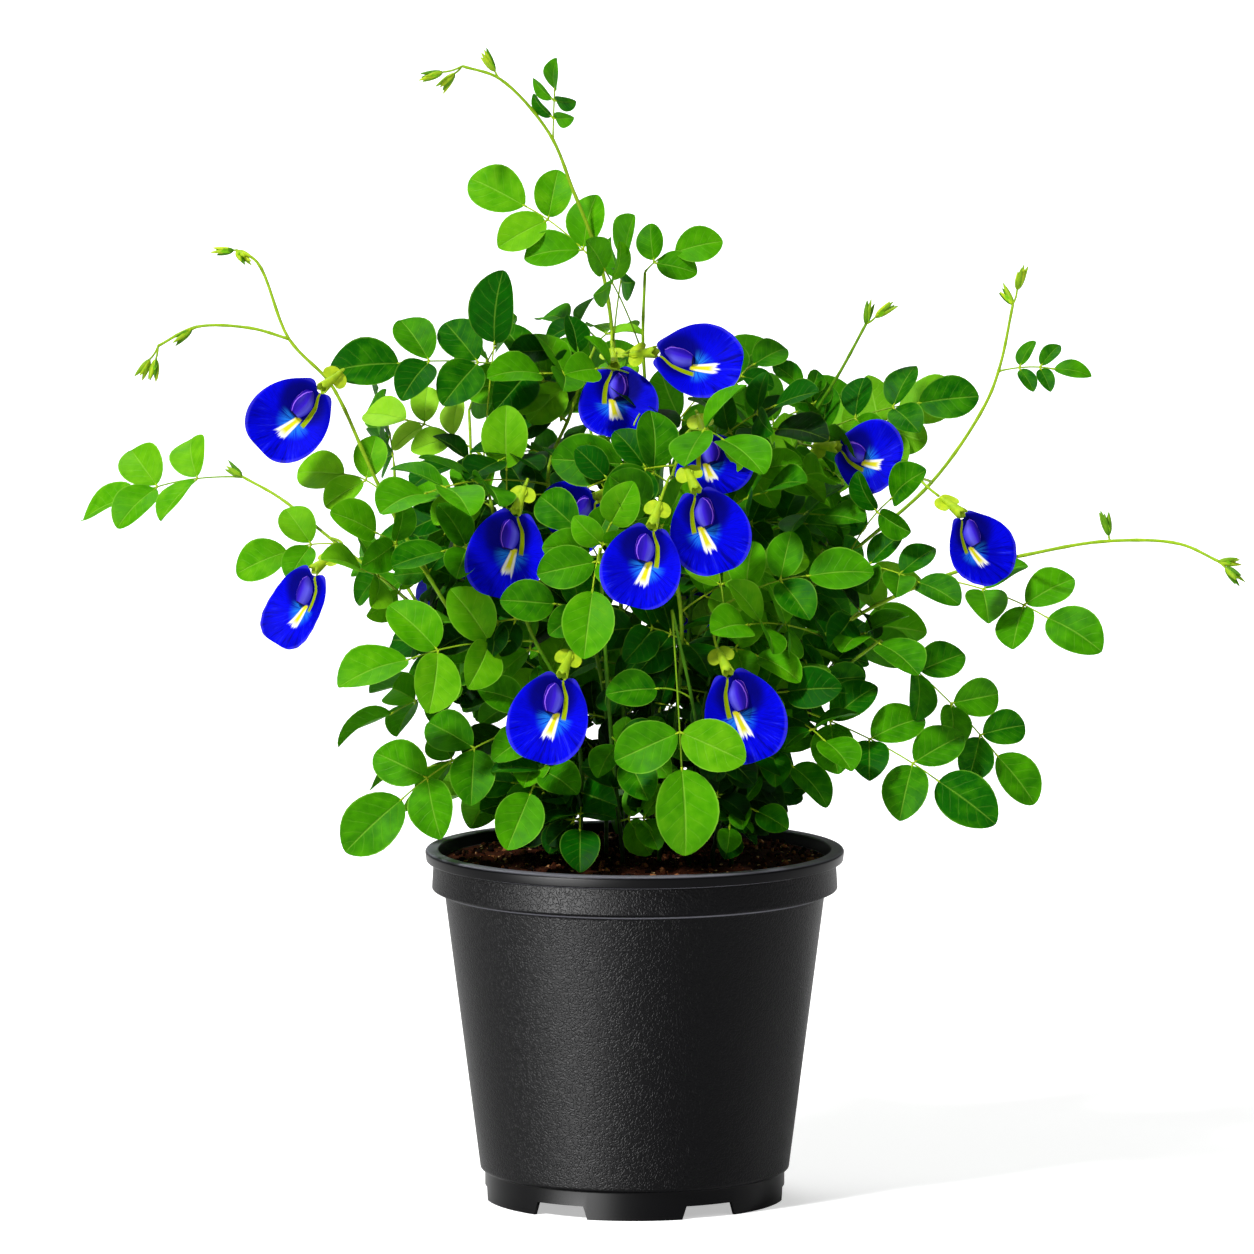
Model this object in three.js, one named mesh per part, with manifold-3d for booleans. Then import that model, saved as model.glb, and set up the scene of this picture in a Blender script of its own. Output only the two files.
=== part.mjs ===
// A butterfly pea in a black nursery pot: leafy twining stems with pinnate leaves, buds and blue pea
// flowers, standing in holes in potting soil. Millimetres, +Z up, the viewer of the photograph at -Y,
// origin on the floor under the pot's axis.
import * as THREE from "three";
import { mergeVertices } from "three/addons/utils/BufferGeometryUtils.js";
import Module from "manifold-3d";

const wasm = await Module();
wasm.setup();
const { degToRad } = THREE.MathUtils;

// Driving dimensions of the pot
const potSize = {
  height: 173,
  rimRadius: 103,
  mouthRadius: 96.5,
  rimHeight: 6.5,
  collarRadius: 99.7,
  collarHeight: 15.5,
  bodyTopRadius: 93.4,
  bodyFootRadius: 76,
  footRadius: 73.8,
  footHeight: 14,
  wall: 2.2,
  step: 0.8,
  collarSlope: 2.5,
  taper: 0.6,
  bevel: 1.6,
  bevelRise: 2.4,
  sides: 32,
};
const potLevels = {
  collarStep: potSize.height - potSize.rimHeight - potSize.collarHeight,
  rimFoot: potSize.height - potSize.rimHeight,
};
const footNotch = { count: 6, width: 26, height: 6.5, firstAngle: degToRad(30) };
const drainHole = { count: 6, radius: 5, ringRadius: 46, sides: 6 };
const floorHeight = 7;
const floorThickness = 2.5;

// Driving dimensions of the soil and of the holes that the stems stand in
const soilSize = { edgeHeight: 165, crown: 2.6, relief: 0.9, rings: 3, wallGap: 0.35 };
const hole = { bottom: 156, top: 175, gap: 0.35, sides: 4 };

// Driving dimensions of the plant
const stemSize = { footRadius: 1.8, tipRadius: 0.9, sides: 3, stepsPerSpan: 2, leafSpacing: 0.27 };
const rachisSize = { radius: 0.85, wide: 0.74, high: 0.425, steps: 2, droop: 0.15, curl: 0.45 };
const leafletShape = {
  halfWidth: 0.35,
  youngHalfWidth: 0.25,
  thickness: 1.2,
  bow: 0.07,
  fold: 0.2,
  stations: [0.28, 0.7],
  middle: 0.46,
  rootSunk: 1,
  rootHalf: 1,
  widestShift: 0.85,
  roundness: 0.75,
  sideLength: 0.74,
  sideLengthSpread: 0.14,
  lift: -0.14,
  liftSpread: 0.4,
  angle: degToRad(62),
  angleSpread: degToRad(16),
  twist: degToRad(40),
  lastPair: 0.42,
  pairSpacing: 0.7,
  leastPetiole: 0.22,
  longest: 0.62,
};
const facing = { viewer: 0.75, up: 0.55, outward: 0.35 };
const petalShape = {
  halfWidth: 19.5,
  thickness: 1.2,
  cup: 5,
  wave: 1.1,
  waves: 3,
  notch: 0.07,
  notchTurn: 0.35,
  taper: 0.1,
  points: 12,
  innerRing: 0.55,
};
const wingShape = { length: 0.33, halfWidth: 0.1, angle: degToRad(8), rise: 0.5, lean: 0.7 };
const calyxShape = {
  length: 14,
  radii: [1.2, 2.5, 4.2],
  sides: 5,
  gap: 0.35,
  back: 0.6,
  bracteole: 10.5,
  spread: 0.8,
};
const budShape = { stalk: 0.65, foot: 0.91, radius: 1.9, tip: 0.25, halfLength: 4.5, sides: 3 };
const clearance = 0.35;
const bends = [0, 8, -8, 16, -16, 25, -25, 36, -36, 50, -50];

// The photograph's view, with its pixels at the pot's axis
const view = {
  distance: 5000,
  pitch: degToRad(6.65),
  mmPerPixel: 0.49,
  pixel: [627, 627],
  aim: [-3.8, 282.2],
};

const colours = {
  pot: 0x1b1b1d,
  soil: 0x2c1a10,
  foliage: 0x2f8a12,
  petal: 0x1410d8,
};

// The place of a photograph's pixel [x, y] that stands `toward` mm nearer the viewer than the pot's axis.
function seen([x, y, toward]) {
  const focal = view.distance / view.mmPerPixel;
  const across = (x - view.pixel[0]) / focal;
  const up = (view.pixel[1] - y) / focal;
  const cos = Math.cos(view.pitch);
  const sin = Math.sin(view.pitch);
  const away = cos + up * sin;
  const rise = up * cos - sin;
  const reach = (view.distance * cos - toward) / away;
  const height = view.aim[1] + view.distance * sin + rise * reach;
  return new THREE.Vector3(view.aim[0] + across * reach, -toward, height);
}

// A repeatable draw from 0 to 1 for repeat `i`, use `k`.
function draw(i, k) {
  const s = Math.sin(i * 12.9898 + k * 78.233) * 43758.5453;
  return s - Math.floor(s);
}

// Every stem: where it stands in the soil [x, toward], or the stem and control point that it branches from,
// and its control points as pixels of the photograph with their distance toward the viewer.
// A leaf grows from control point `at` to its tip and has `pairs` of side leaflets beside its end leaflet,
// which is `size` pixels long.
const stems = {
  left_low: {
    foot: [-40, -8],
    path: [[560, 770, -5], [478, 668, -15], [399, 593, -40], [330, 538, -70], [280, 498, -104],
      [243, 477, -128]],
    leaves: [
      { at: 5, tip: [82, 519, -180], pairs: 2, size: 74 },
      { at: 3, tip: [236, 574, -60], pairs: 1, size: 61 },
      { at: 2, tip: [322, 558, 0], pairs: 2, size: 56 },
      { at: 1, tip: [392, 640, -60], pairs: 1, size: 59 },
    ],
    buds: [[233, 470, -132]],
    blooms: [
      { at: 3, hinge: [314, 570, -46], tip: [272, 645, -44], face: [-1.1, 0.1] },
    ],
  },
  left_high: {
    foot: [-37, 16],
    path: [[540, 730, 25], [470, 640, 30], [423, 567, 28], [376, 480, 22], [341, 402, 15], [327, 379, 12],
      [289, 339, 5], [257, 262, -5], [236, 250, -8]],
    leaves: [
      { at: 3, tip: [297, 472, 5], pairs: 1, size: 59 },
      { at: 2, tip: [330, 512, 60], pairs: 1, size: 61 },
    ],
    buds: [[221, 251, -10], [243, 257, -2]],
    blooms: [
      { at: 5, hinge: [322, 388, 30], tip: [256, 450, 36], face: [-0.1, 0.1] },
    ],
  },
  left_shoot: {
    from: "left_high",
    at: 6,
    path: [[250, 328, 2], [196, 327, 0], [158, 346, -5]],
    buds: [[143, 370, -8], [154, 372, -2], [181, 336, 3]],
  },
  upper_left: {
    foot: [-14, 5],
    path: [[605, 700, 6], [570, 560, 5], [548, 475, 0], [570, 415, -5], [583, 376, -10], [598, 340, -15]],
    leaves: [
      { at: 4, tip: [329, 371, 12], pairs: 3, size: 73 },
      { at: 2, tip: [380, 512, 62], pairs: 2, size: 77 },
      { at: 3, tip: [474, 392, -50], pairs: 2, size: 51 },
      { at: 5, tip: [542, 318, -60], pairs: 1, size: 51 },
      { at: 1, tip: [512, 470, 40], pairs: 1, size: 56 },
      { at: 5, tip: [634, 330, -52], pairs: 1, size: 44 },
    ],
  },
  middle_left: {
    foot: [-26, 27],
    path: [[575, 720, 45], [530, 630, 52], [500, 540, 35], [481, 455, 0]],
    leaves: [
      { at: 1, tip: [338, 687, 88], pairs: 2, size: 79 },
      { at: 3, tip: [364, 413, -42], pairs: 2, size: 55 },
      { at: 0, tip: [478, 690, 70], pairs: 1, size: 54 },
      { at: 2, tip: [392, 566, 62], pairs: 1, size: 59 },
      { at: 3, tip: [503, 270, 8], pairs: 0, size: 76 },
      { at: 2, tip: [506, 405, 18], pairs: 0, size: 66 },
    ],
    blooms: [
      { at: 2, hinge: [516, 511, 64], tip: [494, 600, 70], face: [-0.2, 0.1] },
    ],
  },
  top_shoot: {
    foot: [-4, -15],
    path: [[622, 640, -14], [616, 450, -12], [612, 330, -10], [600, 262, -8], [573, 190, -5],
      [549, 133, -2], [500, 79, 0], [462, 66, 0]],
    leaves: [
      { at: 3, tip: [470, 178, -15], pairs: 2, size: 69 },
      { at: 2, tip: [633, 215, 22], pairs: 1, size: 60 },
      { at: 5, tip: [556, 67, 2], pairs: 2, size: 30, young: true },
    ],
    buds: [[430, 76, 2], [446, 82, -4], [488, 60, 0]],
    blooms: [
      { at: 2, hinge: [614, 366, 16], tip: [622, 438, 34], face: [0, 0.1] },
      { at: 1, hinge: [596, 498, 30], tip: [550, 534, 26], face: [-0.3, 0.2] },
    ],
  },
  top_right: {
    foot: [10, 6],
    path: [[652, 620, 10], [650, 450, 8], [643, 345, 5], [645, 272, 2]],
    leaves: [
      { at: 3, tip: [723, 241, 0], pairs: 1, size: 61 },
      { at: 2, tip: [586, 240, 40], pairs: 1, size: 51 },
    ],
    blooms: [
      { at: 2, hinge: [655, 352, 30], tip: [745, 366, 34], face: [0.1, 0.6] },
    ],
  },
  right_up: {
    foot: [21, -8],
    path: [[690, 620, -6], [700, 520, -8], [712, 440, -6], [735, 385, -12]],
    leaves: [
      { at: 2, tip: [818, 391, 30], pairs: 2, size: 56 },
      { at: 3, tip: [786, 348, -32], pairs: 1, size: 59 },
      { at: 1, tip: [806, 482, 44], pairs: 2, size: 60 },
    ],
    blooms: [
      { at: 2, hinge: [706, 436, 14], tip: [722, 496, 22], face: [0.2, 0] },
    ],
  },
  middle_right: {
    foot: [12, 25],
    path: [[682, 640, 48], [672, 540, 56], [672, 478, 52], [690, 430, 46]],
    leaves: [
      { at: 3, tip: [764, 474, 74], pairs: 1, size: 72 },
      { at: 2, tip: [551, 459, 48], pairs: 1, size: 74 },
      { at: 1, tip: [610, 476, 88], pairs: 1, size: 67 },
    ],
    blooms: [
      { at: 2, hinge: [652, 526, 102], tip: [630, 609, 108], face: [-0.1, 0.1] },
      { at: 3, hinge: [696, 490, 84], tip: [724, 575, 90], face: [0.15, 0.1] },
    ],
  },
  right_high: {
    foot: [31, -21],
    path: [[715, 640, -26], [765, 510, -32], [800, 437, -26], [840, 372, -20], [866, 324, -16]],
    leaves: [
      { at: 2, tip: [979, 396, -20], pairs: 3, size: 63 },
      { at: 1, tip: [864, 522, 20], pairs: 1, size: 59 },
      { at: 1, tip: [848, 470, -70], pairs: 1, size: 54 },
    ],
    buds: [[886, 310, -14], [868, 312, -18]],
    blooms: [
      { at: 2, hinge: [838, 447, 4], tip: [902, 464, 8], face: [0.3, 0.4] },
    ],
  },
  right_shoot: {
    foot: [43, -6],
    path: [[745, 690, -6], [800, 600, 0], [855, 550, 5], [932, 482, 10], [985, 405, 12], [1000, 366, 12],
      [1013, 304, 10]],
    leaves: [
      { at: 5, tip: [1081, 374, 16], pairs: 2, size: 30, young: true },
      { at: 2, tip: [926, 470, 34], pairs: 1, size: 59 },
      { at: 2, tip: [960, 604, 36], pairs: 2, size: 55 },
      { at: 1, tip: [860, 500, -50], pairs: 1, size: 56 },
    ],
    buds: [[1021, 277, 10], [1006, 296, 6]],
    blooms: [
      { at: 3, hinge: [962, 514, 64], tip: [1004, 582, 68], face: [0.9, 0.1] },
    ],
  },
  right_far: {
    foot: [45, 14],
    path: [[750, 700, 22], [850, 620, 24], [950, 574, 28], [1035, 553, 62], [1110, 541, 112],
      [1180, 544, 151], [1220, 562, 173]],
    leaves: [
      { at: 2, tip: [1102, 651, 70], pairs: 2, size: 69 },
      { at: 1, tip: [919, 674, 74], pairs: 1, size: 67 },
      { at: 1, tip: [711, 632, 98], pairs: 2, size: 63 },
    ],
    buds: [[1234, 576, 179], [1232, 562, 173], [1106, 523, 108]],
  },
  right_low: {
    foot: [38, 32],
    path: [[735, 770, 38], [805, 700, 42], [880, 640, 30]],
    leaves: [
      { at: 2, tip: [1035, 804, 30], pairs: 3, size: 64 },
      { at: 1, tip: [996, 824, 66], pairs: 3, size: 74 },
      { at: 1, tip: [852, 770, 96], pairs: 1, size: 59 },
    ],
  },
  near_right: {
    foot: [25, 19],
    path: [[705, 700, 52], [728, 603, 58]],
    leaves: [
      { at: 1, tip: [874, 572, 84], pairs: 2, size: 67 },
      { at: 0, tip: [842, 688, 72], pairs: 2, size: 60 },
      { at: 1, tip: [708, 520, 30], pairs: 1, size: 54 },
    ],
    blooms: [
      { at: 1, hinge: [728, 672, 88], tip: [762, 763, 94], face: [0.1, 0.1] },
    ],
  },
  front: {
    foot: [26.5, 40],
    path: [[703, 838, 46], [700, 752, 70], [690, 690, 86], [672, 610, 94]],
    leaves: [
      { at: 3, tip: [686, 856, 102], pairs: 1, size: 88 },
      { at: 2, tip: [606, 694, 96], pairs: 0, size: 74 },
    ],
  },
  left_foot: {
    foot: [-29, 46],
    path: [[580, 800, 52], [545, 755, 56], [505, 733, 48]],
    leaves: [
      { at: 2, tip: [345, 852, 58], pairs: 2, size: 79 },
      { at: 1, tip: [507, 850, 84], pairs: 1, size: 67 },
      { at: 0, tip: [580, 872, 86], pairs: 1, size: 56 },
    ],
  },
  right_foot: {
    foot: [47, 40],
    path: [[733, 800, 48], [762, 745, 50]],
    leaves: [
      { at: 1, tip: [828, 807, 58], pairs: 1, size: 59 },
      { at: 0, tip: [788, 829, 64], pairs: 1, size: 49 },
      { at: 0, tip: [727, 853, 84], pairs: 1, size: 46 },
    ],
  },
  centre: {
    foot: [-6, 40],
    path: [[610, 720, 64], [603, 610, 78], [600, 548, 80]],
    leaves: [
      { at: 2, tip: [584, 659, 104], pairs: 1, size: 73 },
      { at: 2, tip: [634, 482, 92], pairs: 1, size: 59 },
      { at: 0, tip: [648, 800, 90], pairs: 1, size: 64 },
      { at: 1, tip: [500, 600, 92], pairs: 1, size: 59 },
      { at: 2, tip: [540, 496, 72], pairs: 1, size: 58 },
    ],
    blooms: [
      { at: 1, hinge: [562, 675, 96], tip: [534, 764, 102], face: [-0.1, 0.1] },
    ],
  },
};

// Stems at the back and the sides, which the photograph doesn't show, by rule: `angles` are the directions
// that they lean in, from +X through the back. Each rises through `heights` and spreads to its own reach.
const backStems = {
  angles: [30, 62, 94, 126, 156, 80].map(degToRad),
  footRadii: [46, 46, 46, 46, 46, 27],
  heights: [40, 92, 142, 190],
  reach: [58, 92, 116, 128],
  innerReach: [26, 44, 62, 78],
  outerCount: 5,
  jitter: 16,
  innerRise: 1.04,
  leafReach: 84,
  leafReachLeast: 0.85,
  leafReachDrop: 0.06,
  leafReachSpread: 0.3,
  leafTurn: 0.55,
  leafTurnSpread: 0.5,
  leafRise: -0.35,
  leafRiseStep: 0.28,
  leafRiseSpread: 0.25,
  leafLength: 33,
  bloomStems: [1, 3, 5],
  bloomOut: 20,
  bloomDown: 2,
  bloomLean: 0.3,
  bloomFace: 0.2,
  hands: [[1], [-1, 1], [-1], [-1]],
};

const up = new THREE.Vector3(0, 0, 1);
const toViewer = new THREE.Vector3(0, -1, 0);

// A new vector: `start` moved `amount` times along `way`.
function along(start, way, amount) {
  return start.clone().addScaledVector(way, amount);
}

// `way` without its part along the unit vector `axis`, made one long.
function square(way, axis) {
  return along(way, axis, -way.dot(axis)).normalize();
}

// A solid of points and triangles.
function solid(points, triangles) {
  return new wasm.Manifold(new wasm.Mesh({
    numProp: 3,
    vertProperties: Float32Array.from(points.flatMap((p) => p.toArray())),
    triVerts: Uint32Array.from(triangles.flat()),
  }));
}

// A solid of a closed three.js geometry.
function solidOf(geometry) {
  geometry.deleteAttribute("normal");
  geometry.deleteAttribute("uv");
  const merged = mergeVertices(geometry, 1e-3);
  const index = merged.index.array;
  const faces = [];
  for (let i = 0; i < index.length; i += 3) {
    const [a, b, c] = index.subarray(i, i + 3);
    if (a !== b && b !== c && c !== a) faces.push(a, b, c);
  }
  return new wasm.Manifold(new wasm.Mesh({
    numProp: 3,
    vertProperties: merged.attributes.position.array,
    triVerts: Uint32Array.from(faces),
  }));
}

// A solid of revolution round the Z axis, from its outline as [radius, height].
function turned(outline, sides) {
  const points = outline.map(([radius, height]) => new THREE.Vector2(radius, height));
  return solidOf(new THREE.LatheGeometry(points, sides).rotateX(Math.PI / 2));
}

// An upright prism with its foot at [x, y, z].
function prism(radius, height, sides, [x, y, z]) {
  const geometry = new THREE.CylinderGeometry(radius, radius, height, sides);
  return solidOf(geometry.rotateX(Math.PI / 2).translate(x, y, z + height / 2));
}

// A tube through `points` with one radius for each of them. Each of `blades` grows out of the side of its
// span that its upper face looks away from.
function tube(points, radii, sides, blades = []) {
  const ring = [];
  let sideways = null;
  points.forEach((p, i) => {
    const before = points[Math.max(i - 1, 0)];
    const after = points[Math.min(i + 1, points.length - 1)];
    const way = after.clone().sub(before).normalize();
    const start = sideways ?? (Math.abs(way.y) > 0.9 ? up : toViewer);
    sideways = square(start, way);
    const across = way.clone().cross(sideways);
    for (let k = 0; k < sides; k++) {
      const angle = (2 * Math.PI * k) / sides;
      ring.push(along(along(p, sideways, radii[i] * Math.cos(angle)), across, radii[i] * Math.sin(angle)));
    }
  });
  const grown = new Map(blades.map((spec) => {
    const first = spec.span * sides;
    const turns = Array.from({ length: sides }, (_, k) => {
      const middle = ring[first + k].clone().lerp(ring[first + ((k + 1) % sides)], 0.5);
      return middle.sub(points[spec.span]).dot(spec.normal);
    });
    return [first + turns.indexOf(Math.max(...turns)), spec];
  }));
  const faces = [];
  const last = (points.length - 1) * sides;
  for (let i = 0; i < points.length - 1; i++) {
    for (let k = 0; k < sides; k++) {
      const a = i * sides + k;
      const b = i * sides + ((k + 1) % sides);
      graft(ring, faces, [b, a, a + sides, b + sides], grown.get(a));
    }
  }
  for (let k = 1; k < sides - 1; k++) {
    faces.push([0, k + 1, k], [last, last + k, last + k + 1]);
  }
  return solid(ring, faces);
}

// The places of a blade with a ridge along its midrib: the rim from one side of its root round the tip to
// the other, then the middle of its upper and lower face. The half width at the share s of its length is
// halfWidth * sin(pi * s ** widestShift) ** roundness. The midrib rises by bow * sin(pi * s) and the sides
// rise by fold.
function bladePoints({ base, way, normal, length, halfWidth }) {
  const { stations, middle, thickness, bow, fold, widestShift, roundness } = leafletShape;
  const side = normal.clone().cross(way);
  const point = (s, share) => {
    const width = halfWidth * Math.sin(Math.PI * s ** widestShift) ** roundness;
    const lift = bow * length * Math.sin(Math.PI * s) + Math.abs(share) * fold * width;
    return along(along(along(base, way, s * length), side, share * width), normal, lift);
  };
  const rim = [...stations.map((s) => point(s, -1)), along(base, way, length)];
  const centre = point(middle, 0);
  return {
    rim: [...rim, ...stations.toReversed().map((s) => point(s, 1))],
    above: along(centre, normal, thickness / 2),
    below: along(centre, normal, -thickness / 2),
  };
}

// A blade on its own, with a pointed root.
function looseBlade(spec) {
  const { rim, above, below } = bladePoints(spec);
  const points = [along(spec.base, spec.way, -leafletShape.rootSunk), ...rim, above, below];
  const count = rim.length + 1;
  const faces = [];
  for (let i = 0; i < count; i++) {
    const next = (i + 1) % count;
    faces.push([i, next, count], [next, i, count + 1]);
  }
  return solid(points, faces);
}

// Closes the hole [a, b, ...rest] of a surface: with a blade that grows out of it, or flat where there is
// none. `a` lies on the blade's left and `b` on its right, and the rest lie under it.
function graft(points, faces, [a, b, ...rest], spec) {
  if (!spec) {
    const ring = [b, a, ...rest.toReversed()];
    for (let i = 1; i < ring.length - 1; i++) {
      faces.push([b, ring[i], ring[i + 1]]);
    }
    return;
  }
  const { rim, above, below } = bladePoints(spec);
  const first = points.length;
  points.push(...rim, above, below);
  const top = [a, ...rim.map((_, i) => first + i), b];
  const bottom = [...top, ...rest];
  top.forEach((p, i) => faces.push([points.length - 2, p, top[(i + 1) % top.length]]));
  bottom.forEach((p, i) => faces.push([points.length - 1, bottom[(i + 1) % bottom.length], p]));
}

// Points of the arc from `start` to `end` that arrives along `way`.
function arc(start, end, way, steps) {
  const middle = along(end, way, -rachisSize.curl * end.distanceTo(start));
  return new THREE.QuadraticBezierCurve3(start, middle, end).getPoints(steps);
}

// One pinnate leaf from `base` to `tip`: the curve of its rachis, which droops at its end, and its
// leaflets, the end one first. Side leaflets leave the rachis in pairs. `serial` seeds what differs
// between leaves.
function leafPlan({ base, tip, face, pairs, length, young, serial }) {
  const { angle, angleSpread, lift, liftSpread, sideLength, sideLengthSpread } = leafletShape;
  const span = base.distanceTo(tip);
  const size = Math.min(length, leafletShape.longest * span);
  const way = along(tip.clone().sub(base), up, -rachisSize.droop * span).normalize();
  const root = along(tip, way, -size);
  const stalk = root.distanceTo(base);
  const curve = new THREE.QuadraticBezierCurve3(base, along(root, way, -rachisSize.curl * stalk), root);
  const leaflets = [];
  const add = (t, hand, direction, plane, scale) => {
    const normal = square(plane, direction);
    normal.applyAxisAngle(direction, (draw(serial, leaflets.length) - 0.5) * leafletShape.twist);
    const bladeLength = size * scale;
    const halfWidth = bladeLength * (young ? leafletShape.youngHalfWidth : leafletShape.halfWidth);
    const place = curve.getPoint(t);
    leaflets.push({ t, hand, base: place, way: direction, normal, length: bladeLength, halfWidth });
  };
  add(1, 0, way, face, 1);
  for (let pair = 0; pair < pairs; pair++) {
    const back = (leafletShape.lastPair + leafletShape.pairSpacing * pair) * size;
    const t = 1 - Math.min(back / stalk, ((1 - leafletShape.leastPetiole) * (pair + 1)) / pairs);
    const forward = curve.getTangent(t);
    const plane = square(face, forward);
    const side = plane.clone().cross(forward);
    for (const hand of [-1, 1]) {
      const k = leaflets.length;
      const turn = angle + (draw(serial, k + 10) - 0.5) * angleSpread;
      const direction = along(forward.clone().multiplyScalar(Math.cos(turn)), side, hand * Math.sin(turn));
      direction.addScaledVector(plane, lift + liftSpread * draw(serial, k + 20)).normalize();
      add(t, hand, direction, plane, sideLength + sideLengthSpread * draw(serial, k + 30));
    }
  }
  return { curve, stalk, face, leaflets };
}

// The solid of a planned leaf with the leaflets in `kept`. The rachis has a three-sided section with two
// upper edges, and a leaflet grows out of each side of a short span of it.
function leafSolid({ curve, stalk, face, leaflets }, kept) {
  const points = [];
  const faces = [];
  const addSection = (t) => {
    const centre = curve.getPoint(t);
    const forward = curve.getTangent(t);
    const plane = square(face, forward);
    const side = plane.clone().cross(forward);
    const upper = along(centre, plane, rachisSize.high);
    const lower = along(centre, plane, -rachisSize.radius);
    points.push(along(upper, side, -rachisSize.wide), along(upper, side, rachisSize.wide), lower);
    return points.length - 3;
  };
  const spec = (t, hand) => kept.find((leaflet) => leaflet.t === t && leaflet.hand === hand);
  const half = leafletShape.rootHalf / stalk;
  const pairs = [...new Set(leaflets.slice(1).map((leaflet) => leaflet.t))].toSorted((p, q) => p - q);
  let last = addSection(0);
  faces.push([last, last + 1, last + 2]);
  const join = (next, left, right) => {
    faces.push([last, next, next + 1], [last, next + 1, last + 1]);
    graft(points, faces, [last, next, next + 2, last + 2], left);
    graft(points, faces, [next + 1, last + 1, last + 2, next + 2], right);
    last = next;
  };
  for (const t of pairs) {
    join(addSection(t - half));
    join(addSection(t + half), spec(t, -1), spec(t, 1));
  }
  join(addSection(1));
  graft(points, faces, [last, last + 1, last + 2], spec(1, 0));
  return solid(points, faces);
}

// The blue petals of one bloom, in one solid. The broad petal is a bowl from its hinge to its tip whose rim
// waves. Two wings grow out of it side by side and lean together over the throat.
function corolla({ hinge, tip, face }) {
  const length = hinge.distanceTo(tip);
  const way = tip.clone().sub(hinge).normalize();
  const normal = square(face, way);
  const side = normal.clone().cross(way);
  const { halfWidth, thickness, cup, wave, waves, notch, notchTurn, taper } = petalShape;
  const { points: count, innerRing } = petalShape;
  const place = (turn, share, lift) => {
    const inset = 1 - notch * Math.exp(-(((turn - Math.PI) / notchTurn) ** 2));
    const forward = (length / 2) * (1 - share * inset * Math.cos(turn));
    const across = halfWidth * share * Math.sin(turn) * (1 - taper * Math.cos(turn));
    const height = cup * (share ** 2 - 1) + wave * share ** 2 * Math.sin(waves * turn);
    return along(along(along(hinge, way, forward), side, -across), normal, height + lift);
  };
  const turns = Array.from({ length: count }, (_, k) => (2 * Math.PI * k) / count);
  const ring = (share, lift) => turns.map((turn) => place(turn, share, lift));
  const [above, below] = [thickness / 2, -thickness / 2];
  const points = [...ring(1, 0), ...ring(innerRing, above), ...ring(innerRing, below)];
  points.push(place(0, 0, above), place(0, 0, below));
  const [top, bottom, centre] = [count, 2 * count, 3 * count];
  const faces = [];
  for (let k = 0; k < count; k++) {
    const next = (k + 1) % count;
    faces.push([k, next, top + next], [k, top + next, top + k]);
    faces.push([next, k, bottom + k], [next, bottom + k, bottom + next]);
    faces.push([bottom + next, bottom + k, centre + 1]);
    const hand = next === 0 ? 1 : k === 0 ? -1 : 0;
    const sway = wingShape.angle * hand;
    const forward = along(way.clone().multiplyScalar(Math.cos(sway)), side, Math.sin(sway));
    forward.addScaledVector(normal, wingShape.rise).normalize();
    graft(points, faces, [top + next, top + k, centre], hand !== 0 && {
      base: points[top + k].clone().lerp(points[top + next], 0.5),
      way: forward,
      normal: square(along(normal, side, wingShape.lean * hand), forward),
      length: wingShape.length * length,
      halfWidth: wingShape.halfWidth * length,
    });
  }
  return solid(points, faces);
}

// The green holder of one bloom: its stalk from `start`, and the flared calyx with two round bracteoles,
// which ends just behind the petals' hinge.
function holder({ hinge, tip, face }, start) {
  const way = tip.clone().sub(hinge).normalize();
  const normal = square(face, way);
  const side = normal.clone().cross(way);
  const back = along(way.clone().negate(), normal, -calyxShape.back).normalize();
  const { gap, length, radii, sides, bracteole, spread } = calyxShape;
  const mouth = along(hinge, back, gap);
  const foot = along(hinge, back, gap + length);
  const stalk = arc(start, along(foot, back, 1), back.clone().negate(), rachisSize.steps);
  const points = [...stalk, foot, along(foot, back, -length / 2), mouth];
  const blades = [-1, 1].map((hand) => {
    const outward = side.clone().multiplyScalar(hand);
    const forward = along(outward.clone().multiplyScalar(spread), back, -1).normalize();
    return { span: stalk.length, base: foot, way: forward, normal: square(outward, forward),
      length: bracteole, halfWidth: bracteole / 2 };
  });
  return tube(points, [...stalk.map(() => rachisSize.radius), ...radii], sides, blades);
}

// A pointed bud at `centre` on a short stalk from `start`.
function bud(start, centre) {
  const way = centre.clone().sub(start).normalize();
  const { stalk, foot, radius, tip, halfLength, sides } = budShape;
  const points = [start, along(centre, way, -halfLength), centre, along(centre, way, halfLength)];
  return tube(points, [stalk, foot, radius, tip], sides);
}

// The hollow's radius at a height inside the pot.
function innerRadius(height) {
  const { mapLinear } = THREE.MathUtils;
  const { collarStep } = potLevels;
  const { wall, footRadius, bodyTopRadius, mouthRadius } = potSize;
  return height < collarStep
    ? mapLinear(height, floorHeight, collarStep, footRadius - wall, bodyTopRadius - wall)
    : mapLinear(height, collarStep, potSize.height, bodyTopRadius - wall, mouthRadius);
}

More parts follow.
